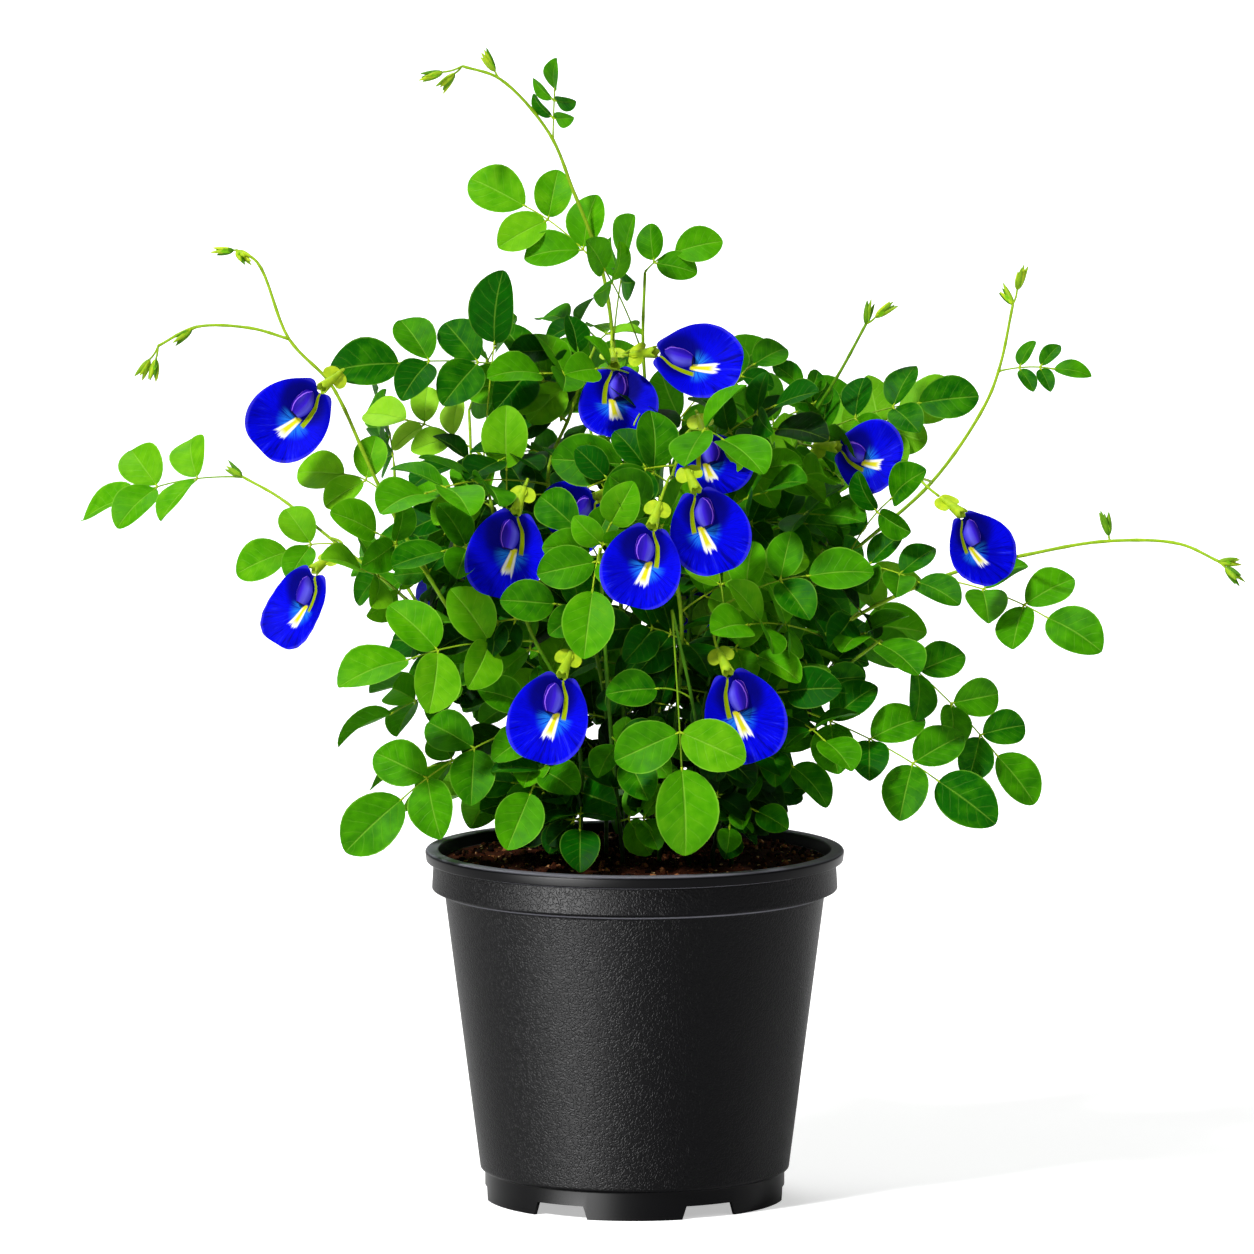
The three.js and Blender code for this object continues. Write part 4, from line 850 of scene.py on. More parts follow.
# The broad petal. Its own coordinate is (share f of its length, share y of its half width, place across the
# green stripe). The throat band runs along y = -0.15 + 0.2 (f - 0.4), 0.09 + 0.32 (f - 0.45) to each side.
def makePetalMaterial():
    look = petalPaint
    material, tree, shader = newMaterial("petal_blue")
    where, f, y, stripe = coordinates(tree)
    # rays: a noise over the turn round the throat and the way from it, another one for each bloom
    fromThroat = f - look["throat"][0]
    beside = (y - look["throat"][1]) * look["squeeze"]
    turn = calc("ARCTAN2", beside, fromThroat)
    far = calc("SQRT", beside * beside + fromThroat * fromThroat)
    seed = Signal(node(tree, "SeparateXYZ", {0: where})) * 6.0
    polar = Signal(node(tree, "CombineXYZ", {0: turn * look["rayTurn"], 1: far * look["rayRun"], 2: seed}))
    streak = noise(polar, 2.2, 4.0, 0.6)
    rayed = ramp(streak, [(0.34, look["deep"]), (0.45, look["blue"]), (0.58, look["blue"]),
                          (0.72, look["bright"])])
    blue = mix(fade(f, 0.42, 0.72), look["blue"], rayed)
    # The patches and fine veins are the petal's own dark; the darkening towards the hinge is painted shade.
    for dark in (fade(noise(where, 55.0, 2.0), 0.46, 0.72) * 0.5,       # patches
                 fade(noise(polar, 9.0, 2.0), 0.5, 0.64) * 0.4,         # fine veins
                 fade(f, 0.5, 0.05) * 0.5):                             # towards the hinge
        blue = mix(dark, blue, look["deep"])
    # a paler rim, where (2 f - 1)^2 + y^2 comes near one
    forth = f * 2.0 - 1.0
    blue = mix(fade(forth * forth + y * y, 0.88, 0.98) * 0.24, blue, look["edge"])
    # painted shade round the hood, an oval
    ovalF, ovalY = ((place - at) / half for place, at, half in zip((f, y), look["hoodAt"], look["hoodHalf"]))
    blue = mix(fade(ovalF * ovalF + ovalY * ovalY, 1.3, 0.5) * 0.8, blue, look["hoodShade"])
    rays = fade(far, 0.24, 0.08) * fade(streak, 0.38, 0.54) * fade(f, 0.41, 0.47)
    blue = mix(rays * 0.85, blue, look["azure"])
    # the green stripe beside the hood, then the throat band: yellow, and white at its sides and end
    blue = mix(fade(abs(stripe), 1.1, 0.8) * fade(f, 0.47, 0.44), blue, look["green"])
    middle = -0.15 + (f - 0.4) * 0.2
    half = 0.09 + (f - 0.45) * 0.32
    off = abs((y - middle) / half)
    end = 0.69 + (streak - 0.5) * 0.24
    inBand = fade(off, 1.12, 0.86) * fade(f - end, 0.02, -0.03) * fade(f, 0.39, 0.42)
    white = calc("MAXIMUM", fade(off, 0.3, 0.62), fade(f, 0.6, 0.68))
    throat = mix(fade(f, 0.5, 0.42), mix(white, look["yellow"], look["white"]), look["yellow"])
    blue = mix(inBand, blue, throat)
    blue = mix(underside(tree) * 0.3, blue, look["under"])
    setAll(shader, {"Base Color": blue, "Roughness": 0.6, "Specular IOR Level": 0.04})
    seenThrough(shader, blue, look["throughShare"], bumped(shader, streak, *look["bump"]))
    return material


hoodPaint = {
    "left": paint(34, 0, 132), "middle": paint(34, 0, 150), "inner": paint(58, 30, 205),
    "right": paint(108, 104, 242), "edge": paint(50, 40, 210), "line": paint(156, 100, 246),
    "lip": paint(4, 0, 60), "grainScale": 260.0, "bump": (0.3, 0.0004), "throughShare": 0.12,
}


# The hood over the throat. Its own coordinate is (share s of its length, place a across, distance from its
# fold, which carries a painted highlight)
def makeHoodMaterial():
    look = hoodPaint
    material, tree, shader = newMaterial("hood_violet")
    where, s, a, fold = coordinates(tree)
    grain = noise(where, look["grainScale"], 3.0)
    violet = ramp(a * 0.5 + 0.5, [(0.0, look["left"]), (0.4, look["middle"]), (0.6, look["inner"]),
                                  (0.84, look["right"]), (1.0, look["edge"])])
    violet = mix(fade(s, 0.4, 0.1) * 0.7, violet, look["middle"])
    violet = mix(grain * 0.2, violet, look["inner"])
    # a pale line along the fold and along the left rim: painted highlight
    violet = mix(fade(abs(fold), 0.09, 0.03), violet, look["line"])
    violet = mix(fade(a, -0.9, -0.97) * fade(s, 0.6, 0.4), violet, look["line"])
    # a dark band at the lip: painted shadow under it
    violet = mix(fade(s, 0.93, 0.97), violet, look["lip"])
    setAll(shader, {"Base Color": violet, "Roughness": 0.55, "Specular IOR Level": 0.12})
    seenThrough(shader, violet, look["throughShare"], bumped(shader, grain, *look["bump"]))
    return material


# Heights are in metres: where the grain starts and ends, where the rim's top gets a painted highlight, and
# the edges that get painted highlights, as (height, half width)
potPaint = {
    "black": paint(6, 6, 8), "worn": paint(13, 13, 18), "paintedHighlight": paint(116, 116, 124), "paintedHighlightShare": 0.8,
    "worm": 560.0, "furrow": 0.1, "grainFoot": (0.015, 0.0165), "grainTop": (0.1664, 0.1657),
    "top": (0.1719, 0.1728), "lines": [(0.1518, 0.0007), (0.1669, 0.0004)],
    "rough": 0.32, "grainRough": 0.08, "bump": (0.55, 0.0002),
}


def makePotMaterial():
    look = potPaint
    material, tree, shader = newMaterial("pot_black_grained")
    where = Signal(node(tree, "TexCoord"), "Object")
    height = Signal(node(tree, "SeparateXYZ", {0: where}), 2)
    # leathery grain: wormlike furrows along the middle value of a noise, on the body and the collar
    furrow = fade(abs(noise(where, look["worm"], 1.0) - 0.5), 0.0, look["furrow"])
    grained = fade(height, *look["grainFoot"]) * fade(height, *look["grainTop"])
    # painted highlight: a pale grey on the rim's top and in thin bands at the collar's and rim's lower edges,
    # for the light they catch
    paintedHighlightMask = fade(height, *look["top"])
    for at, half in look["lines"]:
        paintedHighlightMask = calc("MAXIMUM", paintedHighlightMask, fade(abs(height - at), half, half / 2))
    black = mix(noise(where, 14.0) * 0.5, look["black"], look["worn"])
    black = mix(paintedHighlightMask * look["paintedHighlightShare"], black, look["paintedHighlight"])
    setAll(shader, {"Base Color": black, "Roughness": look["rough"] + grained * look["grainRough"],
                    "Specular IOR Level": 0.08})
    bumped(shader, furrow * grained, *look["bump"])
    return material


soilPaint = {
    "dark": paint(18, 8, 4), "brown": paint(64, 32, 16), "tan": paint(142, 92, 56),
    "speck": paint(196, 160, 112), "grainScale": 420.0, "grain": 0.8, "speckScale": 330.0,
    "chosen": (0.9, 0.92), "bump": (0.8, 0.0012),
}


def makeSoilMaterial():
    look = soilPaint
    material, tree, shader = newMaterial("potting_soil")
    where, _, _, tone = coordinates(tree)
    grain = noise(where, look["grainScale"], 6.0, 0.65)
    brown = ramp(tone + (grain - 0.5) * look["grain"],
                 [(0.1, look["dark"]), (0.5, look["brown"]), (0.95, look["tan"])])
    # a few pale specks: the middles of those cells whose own draw is high
    cells = node(tree, "TexVoronoi", {"Vector": where, "Scale": look["speckScale"]})
    drawn = Signal(node(tree, "SeparateXYZ", {0: Signal(cells, "Color")}))
    speck = fade(drawn, *look["chosen"]) * fade(Signal(cells, "Distance"), 0.34, 0.24)
    brown = mix(speck, brown, look["speck"])
    setAll(shader, {"Base Color": brown, "Roughness": 0.95, "Specular IOR Level": 0.1})
    bumped(shader, grain, *look["bump"])
    return material


leafMaterial, stemMaterial = makeLeafMaterial(), makeStemMaterial()
petalMaterial, hoodMaterial = makePetalMaterial(), makeHoodMaterial()
potMaterial, soilMaterial = makePotMaterial(), makeSoilMaterial()
print("materials made")


# Stems, leaves, buds and calyxes

# In the tables below, a pair is the least value and how much a draw adds to it
leafLook = {"rows": 13, "columns": 5, "thickness": 0.35, "fold": 0.32, "ripple": 0.02, "waves": 7.0,
            "roundness": 0.6, "stalk": 1.3, "stalkEnd": 1.2, "stalkRadii": [0.6, 0.55, 0.4], "stalkTone": 0.8,
            "widen": 1.04, "youngGrow": 1.4, "power": (0.86, 0.26), "bow": (0.03, 0.07), "droop": (0, 0.03),
            "rachisTone": (0.55, 0.3)}
fillLeafLook = {**leafLook, "rows": 7}
bractLook = {**leafLook, "rows": 9, "roundness": 0.5, "fold": 0.1, "ripple": 0.01}
stemLook = {"sides": 8, "foot": 1.1, "shootFoot": 1.15, "tip": 0.68, "swell": 0.16, "tone": (0.35, 0.35),
            "shade": 0.62, "farTone": 0.72, "rachis": 0.42, "rachisFoot": 0.75, "rachisTaper": 14,
            "rachisSides": 5, "rachisSteps": 12}
# Painted shade and light on the leaves: deep darkens them low inside the bush; high, outer, front and left
# brighten them
toneLook = {"own": 0.66, "deep": 0.25, "varied": 0.2, "high": 0.08, "outer": 0.18, "front": 0.06,
            "left": 0.04}


def addBlades(shape, specs, look=leafLook, paint=0):
    points, place = blades(specs, look["rows"], look["columns"], look)
    addParts(shape, points, place, bladeFaces(look["rows"], look["columns"]), paint)


def varied(pair, serial, k):
    return pair[0] + pair[1] * draw(serial, k)


# How bright a leaf is: its tone in the table, or its own draw, less painted shade deep inside the bush low
# down.
# Then painted light makes it brighter high up, outside, toward the viewer and to the left.
def leafTone(grown, k, point):
    look, serial, tone = toneLook, grown["serial"], grown["tone"]
    high = np.clip((point[2] - 200) / 300, 0, 1)
    outer = np.clip(np.hypot(point[0], point[1]) / 220, 0, 1)
    front = np.clip(-point[1] / 120, -1, 1)
    left = np.clip(-point[0] / 200, -1, 1)
    if tone is None:
        low = np.clip((290 - point[2]) / 100, 0, 1)
        tone = look["own"] * draw(serial, 40) - look["deep"] * low * (1 - outer)
    tone += look["varied"] * draw(serial, k + 41) - grown.get("dim", 0)
    return tone + look["high"] * high + look["outer"] * outer + look["front"] * front + look["left"] * left


def addLeaf(shape, grown, path):
    look, serial = stemLook, grown["serial"]
    start, middle, root = grown["curve"]
    start = path[np.argmin(np.linalg.norm(path - start, axis=1))]
    t = np.linspace(0, 1, look["rachisSteps"])
    radii = look["rachis"] + (look["rachisFoot"] - look["rachis"]) * np.exp(-t * look["rachisTaper"])
    tone = varied(leafLook["rachisTone"], serial, 7)
    addTube(shape, bend(start, middle, root, t), radii, look["rachisSides"], tone, 1)
    look = leafLook
    specs = []
    for k, one in enumerate(grown["kept"]):
        joint = one["base"] + one["way"] * look["stalk"]
        stalk = np.array([one["base"], joint, joint + one["way"] * look["stalkEnd"]])
        addTube(shape, stalk, look["stalkRadii"], stemLook["rachisSides"], look["stalkTone"], 1)
        grow = look["youngGrow"] if grown["young"] else 1
        specs.append({"base": joint, "way": one["way"], "normal": one["normal"],
                      "length": grow * (one["length"] - look["stalk"]),
                      "halfWidth": grow * one["halfWidth"] * look["widen"],
                      "power": varied(look["power"], serial, k + 60), "phase": 6.28 * draw(serial, k + 70),
                      "bow": varied(look["bow"], serial, k + 80),
                      "droop": varied(look["droop"], serial, k + 90), "tone": leafTone(grown, k, joint)})
    if specs:
        addBlades(shape, specs, fillLeafLook if "dim" in grown else leafLook)


# The leaves inside the bush, which the solids leave out. One grows from a stem at every `spacing` of its
# length, and its tip stays within the bush's own outline, given as its radius over the height.
# These leaves are painted darker by a share, as painted shade inside the bush
fillLook = {"spacing": 17, "first": 186, "last": 412, "reach": 44, "reachMore": 36, "size": 24, "sizeMore": 9,
            "heights": [176, 200, 240, 300, 360, 400, 430], "radii": [64, 84, 102, 116, 112, 88, 40],
            "slack": 8, "front": -72, "flowerClear": 45, "least": 27, "dim": 0.2, "serial": 1000,
            "swing": 3.6, "rise": (-0.35, 0.8), "viewer": 0.75, "backViewer": 0.2, "back": 25, "single": 0.35}
flowerMiddles = [(bloom["hinge"] + bloom["tip"]) / 2
                 for stem in everyStem[:len(stems)] for bloom in stem["blooms"]]


def isClearOfFlowers(point):  # true where the point hides no flower from the viewer
    pixel = pixelOf(point)
    return all(point[1] > middle[1] or np.linalg.norm(pixel - pixelOf(middle)) > fillLook["flowerClear"]
               for middle in flowerMiddles)


def fillLeaves(order, stem):
    look, path = fillLook, stem["path"]
    run = np.concatenate([[0], np.cumsum(np.linalg.norm(np.diff(path, axis=0), axis=1))])
    made = []
    for k in range(int(run[-1] / look["spacing"])):
        at = (k + draw(order, k + 300)) * look["spacing"]
        base = np.array([np.interp(at, run, path[:, axis]) for axis in range(3)])
        edge = np.interp(base[2], look["heights"], look["radii"])
        if not look["first"] < base[2] < look["last"] or np.hypot(*base[:2]) > edge + look["slack"]:
            continue
        way = turnAbout(unit(base * [1, 1, 0]), up, (draw(order, k + 340) - 0.5) * look["swing"])
        way[2] = varied(look["rise"], order, k + 380)
        tip = base + unit(way) * (look["reach"] + look["reachMore"] * draw(order, k + 420))
        tip[2] = min(tip[2], look["last"] + 10)
        limit = np.interp(tip[2], look["heights"], look["radii"])
        tip[:2] *= min(1, limit / np.hypot(*tip[:2]))
        if tip[1] < look["front"] or np.linalg.norm(tip - base) < look["least"]:
            continue
        viewer = look["viewer" if base[1] < look["back"] else "backViewer"]
        leaf = {"base": base, "face": faceOf(base, viewer), "young": False,
                "pairs": 1 if draw(order, k + 460) < look["single"] else 2,
                "serial": look["serial"] + 40 * order + k,
                "length": look["size"] + look["sizeMore"] * draw(order, k + 500)}
        grown = planLeaf(leaf, tip)
        grown["tone"], grown["dim"] = None, look["dim"]
        grown["kept"] = [one for one in grown["leaflets"]
                         if isClearOfFlowers(one["base"] + one["way"] * one["length"] / 2)]
        made.append(grown)
    return made


budLook = {"halfLength": 6.6, "radius": 1.5, "stalk": 0.55, "stalkSides": 5, "sag": 0.06, "sides": 7,
           "count": 6, "spread": 0.3, "lean": (0.4, 0.6), "grown": (0.7, 0.3), "tone": (0.3, 0.6),
           "stalkTone": 0.7, "bract": 6.5, "bractHalf": 1.1, "bractTone": 0.75}


# A shoot's end or a flower bud: a tight bundle of narrow pointed buds, each with the radius
# sin(pi t^0.7)^0.8, and two bracts at their foot
def addBud(shape, start, centre, seed):
    look = budLook
    way = unit(centre - start)
    foot = centre - way * look["halfLength"]
    t = np.linspace(0, 1, 7)
    sag = square(up, way) * -look["sag"] * np.linalg.norm(foot - start)
    stalk = start + (foot - start) * t[:, None] + sag * np.sin(np.pi * t)[:, None]
    addTube(shape, stalk, np.full(len(t), look["stalk"]), look["stalkSides"], look["stalkTone"], 1)
    side = square(toViewer, way)
    across = np.cross(way, side)
    t = np.linspace(0.02, 0.98, 9)
    for k in range(look["count"]):
        turn = 2 * math.pi * (k + draw(seed, k)) / look["count"]
        lean = look["spread"] * varied(look["lean"], seed, k + 10)
        forward = unit(way + (side * math.cos(turn) + across * math.sin(turn)) * lean)
        length = 2 * look["halfLength"] * varied(look["grown"], seed, k + 20)
        radii = look["radius"] * varied(look["grown"], seed, k + 30) * np.sin(np.pi * t ** 0.7) ** 0.8 + 0.1
        tone = varied(look["tone"], seed, k + 40)
        addTube(shape, foot + forward * (length * t[:, None]), radii, look["sides"], tone, 1)
    specs = [{"base": foot, "way": unit(way + side * hand * 0.4), "normal": unit(side * hand - way * 0.4),
              "length": look["bract"], "halfWidth": look["bractHalf"], "power": 0.9, "phase": 0.0,
              "bow": 0.05, "droop": 0.0, "tone": look["bractTone"]} for hand in (-1, 1)]
    addBlades(shape, specs, bractLook)


calyxLook = {"sides": 40, "outer": 11, "inner": 4, "foot": 1.2, "mouth": 3.1, "flare": 1.2, "wall": 0.35,
             "lobes": 5, "lobe": 0.1, "tone": 0.78, "floor": 0.45, "stalk": 0.7, "stalkSides": 7,
             "stalkSteps": 14, "stalkTone": 0.75,
             "bractLength": 9.5, "bractHalf": 4.2, "spread": 0.62, "turned": 0.5, "bractTone": 0.84}


def bloomAxes(bloom):  # the petal's length, and its ways: along it from its hinge, out of its face, across it
    length = np.linalg.norm(bloom["tip"] - bloom["hinge"])
    way = unit(bloom["tip"] - bloom["hinge"])
    normal = square(bloom["face"], way)
    return length, way, normal, np.cross(normal, way)


# The stalk and calyx of a bloom. The calyx is a flared tube, radius foot + (mouth - foot) t^flare, whose rim
# runs out into five lobes, by lobe |cos(2.5 angle)|^1.5 of its length. Its inner wall runs back down inside.
def addCalyx(shape, bloom, seed):
    look = calyxLook
    _, way, normal, side = bloomAxes(bloom)
    back = unit(-way - normal * plant["calyxBack"])
    mouth = bloom["hinge"] + back * plant["calyxGap"]
    foot = mouth + back * plant["calyxLength"]
    end = foot + back
    middle = end + back * plant["curl"] * np.linalg.norm(end - bloom["start"])
    stalk = bend(bloom["start"], middle, end, np.linspace(0, 1, look["stalkSteps"]))
    addTube(shape, stalk, np.full(len(stalk), look["stalk"]), look["stalkSides"], look["stalkTone"], 1)
    t = np.concatenate([np.linspace(0, 1, look["outer"]), np.linspace(1, 0.5, look["inner"])])[:, None]
    wall = np.repeat([0, look["wall"]], [look["outer"], look["inner"]])[:, None]
    angle = 2 * np.pi * np.arange(look["sides"]) / look["sides"]
    radius = look["foot"] + (look["mouth"] - look["foot"]) * t ** look["flare"] - wall
    lobe = look["lobe"] * np.abs(np.cos(look["lobes"] / 2 * angle)) ** 1.5
    run = plant["calyxLength"] * t * (1 + lobe * t ** 5)
    across = square(normal, back)
    over = np.cross(back, across)
    rings = (foot - back * run[..., None] + across * (radius * np.cos(angle))[..., None]
             + over * (radius * np.sin(angle))[..., None])
    inside = foot - back * look["floor"] * plant["calyxLength"]
    points = np.concatenate([[foot], rings.reshape(-1, 3), [inside]])
    place = np.array([0, 0, look["tone"]])
    addParts(shape, points[None], place, shellFaces(len(t), look["sides"]), 1)
    specs = []
    for hand in (-1, 1):
        forward = unit(side * hand * look["spread"] - back)
        turned = square(normal + side * hand * look["turned"], forward)
        specs.append({"base": foot, "way": forward, "normal": turned, "length": look["bractLength"],
                      "halfWidth": look["bractHalf"], "power": 0.9, "phase": seed, "bow": -0.04, "droop": 0.0,
                      "tone": look["bractTone"]})
    addBlades(shape, specs, bractLook, 1)


blooms = []
vines = {}
for order, stem in enumerate(everyStem):
    shape = vines.setdefault(stem["node"], newShape())
    path = stem["path"]
    share = np.linspace(0, 1, len(path))
    foot = stemLook["tip"] * stemLook["shootFoot"] if stem["shoot"] else stemLook["foot"]
    swell = 1 + stemLook["swell"] * np.cos(np.pi * np.arange(len(path)) / 4) ** 8
    radii = (foot + (stemLook["tip"] - foot) * share) * swell
    reach = np.clip((np.hypot(path[:, 0], path[:, 1]) - 80) / 80, 0, 1)
    # darker low down, partly for older stems and partly as painted shade inside the bush; lighter far out
    # from the axis
    tone = varied(stemLook["tone"], order, 3) - stemLook["shade"] * np.clip((300 - path[:, 2]) / 130, 0, 1)
    tone = tone + (stemLook["farTone"] - tone) * reach
    addTube(shape, path, radii, stemLook["sides"], tone, 1)
    for k, centre in enumerate(stem["buds"]):
        near = min(stem["controls"], key=lambda point: np.linalg.norm(point - centre))
        addBud(shape, near, centre, 10 * order + k)
    for bloom in stem["blooms"]:
        blooms.append(bloom)
        addCalyx(shape, bloom, len(blooms))
    for grown in stem["grown"] + fillLeaves(order, stem):
        addLeaf(shape, grown, path)
for name, shape in vines.items():
    makePiece(name.replace("stem_", "vine_"), shape, [leafMaterial, stemMaterial], [name])
print("vines made:", len(vines))


# The blooms

petalLook = {
    "halfWidth": plant["petalHalfWidth"], "cup": 5, "wave": 1.4, "waves": 3, "sides": 96, "rings": 13,
    "thickness": 0.45, "pleat": 0.22, "pleats": 19, "curl": 1.0, "groove": 0.9,
    "notch": 0.07, "cleft": 0.12, "cleftWidth": 0.17, "shoulder": 0.07,
    "bandAt": [0, 0.1, 0.2, 0.33, 0.44, 1], "bandMiddle": [-0.02, -0.1, -0.24, -0.31, -0.34, -0.36],
    "bandWidthAt": [0, 0.1, 0.2, 0.4, 1], "bandWidth": [0.02, 0.035, 0.055, 0.065, 0.065],
}


# The broad petal as rings round its centre, at the share of its radius and the turn from its hinge:
# forward = L/2 (1 - share inset cos turn), across = halfWidth share sin turn (1 - 0.1 cos turn),
# height = cup (share^2 - 1) + wave share^2 sin(3 turn) + pleats that run out to the rim
def petalSurface(length, lean, share, turn):
    look = petalLook
    wrapped = (turn + np.pi) % (2 * np.pi) - np.pi
    inset = (1 - look["notch"] * np.exp(-((turn - np.pi) / 0.35) ** 2)
             - look["cleft"] * np.exp(-(wrapped / look["cleftWidth"]) ** 2)
             + look["shoulder"] * np.exp(-((np.abs(wrapped) - 0.4) / 0.2) ** 2))
    forward = length / 2 * (1 - share * inset * np.cos(turn))
    across = -look["halfWidth"] * share * np.sin(turn) * (1 - 0.1 * np.cos(turn))
    f, y = forward / length, across * lean / look["halfWidth"]
    fromBand = y - np.interp(f, look["bandAt"], look["bandMiddle"])
    band = fromBand / np.interp(f, look["bandWidthAt"], look["bandWidth"])
    lower = np.clip(0.5 - 0.5 * np.cos(turn), 0, 1)
    outer = np.clip((share - 0.3) / 0.7, 0, 1)
    height = look["cup"] * (share ** 2 - 1) + look["wave"] * share ** 2 * np.sin(look["waves"] * turn)
    height += look["pleat"] * np.sin(look["pleats"] * turn) * lower * outer
    height -= look["curl"] * np.clip((share - 0.8) / 0.2, 0, 1) ** 2
    height -= look["groove"] * np.exp(-band ** 2) * np.clip(1.4 - 2 * f, 0, 1)
    return forward, across, height, np.stack(np.broadcast_arrays(f, y, band), -1)


def addPetal(shape, bloom, lean):
    length, way, normal, side = bloomAxes(bloom)
    look = petalLook
    turn = 2 * np.pi * np.arange(look["sides"])[None] / look["sides"]
    steps = np.arange(1, look["rings"] + 1) / look["rings"]
    share = np.concatenate([steps, steps[-2::-1]])[:, None]
    face = np.concatenate([np.ones(look["rings"] - 1), [0], -np.ones(look["rings"] - 1)])[:, None]
    centre = petalSurface(length, lean, np.zeros((1, 1)), np.zeros((1, 1)))
    forward, across, height, place = petalSurface(length, lean, share, turn)
    height = height + face * look["thickness"] / 2

    def put(forward, across, height):
        return bloom["hinge"] + (way * forward[..., None] + side * across[..., None]
                                 + normal * height[..., None]).reshape(-1, 3)
    top, low = (put(*centre[:2], centre[2] + hand * look["thickness"] / 2) for hand in (1, -1))
    points = np.concatenate([top, put(forward, across, height), low])
    place = np.concatenate([centre[3].reshape(1, 3), place.reshape(-1, 3), centre[3].reshape(1, 3)])
    faces = shellFaces(len(share), look["sides"])
    below = look["rings"] - 1
    faces["quadUnder"] = np.repeat((np.arange(len(share) - 1) >= below).astype(float), look["sides"])
    faces["triUnder"] = np.repeat([0.0, 1.0], look["sides"])
    kind = faces["kind"]
    kind[1 + below * look["sides"]:1 + (below + 1) * look["sides"]] = 1
    addParts(shape, points[None], place[None], faces, 0)


hoodLook = {
    "rows": 15, "columns": 13, "start": 0.1, "reach": 0.33, "half": 0.27, "rise": 4.6, "lip": 0.6,
    "thickness": 0.4, "middleAt": [0, 0.15, 0.4, 1], "middle": [0.1, 0.1, 0.05, 0.03],
    "foldAt": [0, 0.15, 0.3, 0.5, 0.75, 1], "fold": [0, -0.42, -0.64, -0.74, -0.7, -0.5],
    "foldHeight": 0.5, "foldWidth": 0.14, "lift": 0.3,
}


# The hood, an arched shell that is open at its lip. At s it is half (1 - (1 - s)^3.2)^0.5 (1 - lip s^5) wide,
# and stands rise sin(pi (0.12 + 0.6 s)) (1 - |a|^2.2) above the petal, cup ((2 f - 1)^2 + y^2 - 1)
def addHood(shape, bloom, lean):
    length, way, normal, side = bloomAxes(bloom)
    look = hoodLook
    s = 0.5 - 0.5 * np.cos(np.pi * np.arange(1, look["rows"] + 1) / (look["rows"] + 1))
    s, a = np.meshgrid(s, np.linspace(-1, 1, look["columns"]), indexing="ij")
    inner = slice(1, look["columns"] - 1)

    def surface(s, a):
        f = look["start"] + look["reach"] * s
        half = look["half"] * (1 - (1 - s) ** 3.2) ** 0.5 * (1 - look["lip"] * s ** 5)
        y = np.interp(s, look["middleAt"], look["middle"]) - a * half
        fold = a - np.interp(s, look["foldAt"], look["fold"])
        height = petalLook["cup"] * ((2 * f - 1) ** 2 + y ** 2 - 1) + look["lift"]
        height = height + look["rise"] * np.sin(np.pi * (0.12 + 0.6 * s)) * (1 - np.abs(a) ** 2.2)
        ridge = np.exp(-(fold / look["foldWidth"]) ** 2)
        height = height + look["foldHeight"] * ridge * np.sin(np.pi * s)
        point = (bloom["hinge"] + way * (f * length)[..., None] + normal * height[..., None]
                 + side * (lean * y * petalLook["halfWidth"])[..., None])
        return point, np.stack([s, a, fold], -1)
    upper, flat = surface(s, a)
    lower = upper[:, inner] - normal * (look["thickness"] * (1 - a[:, inner, None] ** 2))
    ends = [surface(np.full(1, end), np.zeros(1)) for end in (0.0, 1.0)]
    points = np.concatenate([ends[0][0], upper.reshape(-1, 3), ends[1][0], lower.reshape(-1, 3)])
    place = np.concatenate([ends[0][1], flat.reshape(-1, 3), ends[1][1], flat[:, inner].reshape(-1, 3)])
    addParts(shape, points[None], place[None], bladeFaces(look["rows"], look["columns"]), 1)


for i, bloom in enumerate(blooms):
    lean = -1.0 if bloom["tip"][0] < bloom["hinge"][0] else 1.0
    shape = newShape()
    addPetal(shape, bloom, lean)
    addHood(shape, bloom, lean)
    makePiece(f"flower_{i + 1}", shape, [petalMaterial, hoodMaterial], [f"bloom_{i + 1}"])
print("blooms made:", len(blooms))


# The pot, a turned shell. Corners are rounded by the radii that stand beside them.

potLook = {
    "height": 173, "rimRadius": 103, "mouthRadius": 96.5, "rimHeight": 6.5, "taper": 0.6, "rimEdge": 1,
    "rimDrop": 1.2, "collarRadius": 99.7, "collarHeight": 15.5, "collarSlope": 2.5, "bodyTopRadius": 93.4,
    "bodyFootRadius": 76, "footRadius": 73.8, "footHeight": 14, "step": 0.8, "wall": 2.2,
    "floorFoot": 7, "floorTop": 9.5, "sides": 216, "cornerSteps": 4, "sharpAngle": 40,
    "notches": 6, "notchWidth": 26, "notchHeight": 6.5, "notchTurn": 30,
    "drains": 6, "drainRadius": 5, "drainRing": 46, "drainSides": 24,
}
collarStep = potLook["height"] - potLook["rimHeight"] - potLook["collarHeight"]
rimFoot = potLook["height"] - potLook["rimHeight"]


# A profile of (radius, height) with each inner corner as a Bezier arc that starts and ends at its rounding
# from the corner, or at 0.45 of the way to the next one
def rounded(outline, steps):
    corners, roundings = np.array(outline, float)[:, :2], [row[2] for row in outline]
    made = [corners[:1]]
    for before, corner, after, rounding in zip(corners, corners[1:], corners[2:], roundings[1:]):
        into, out = before - corner, after - corner
        rounding = min(rounding, 0.45 * np.linalg.norm(into), 0.45 * np.linalg.norm(out))
        t = np.linspace(0, 1, steps)
        made.append(bend(corner + unit(into) * rounding, corner, corner + unit(out) * rounding, t))
    return np.concatenate([*made, corners[-1:]])


def innerRadius(height):  # the hollow's radius at a height
    p = potLook
    return np.interp(height, [p["floorFoot"], collarStep, p["height"]],
                     [p["footRadius"] - p["wall"], p["bodyTopRadius"] - p["wall"], p["mouthRadius"]])


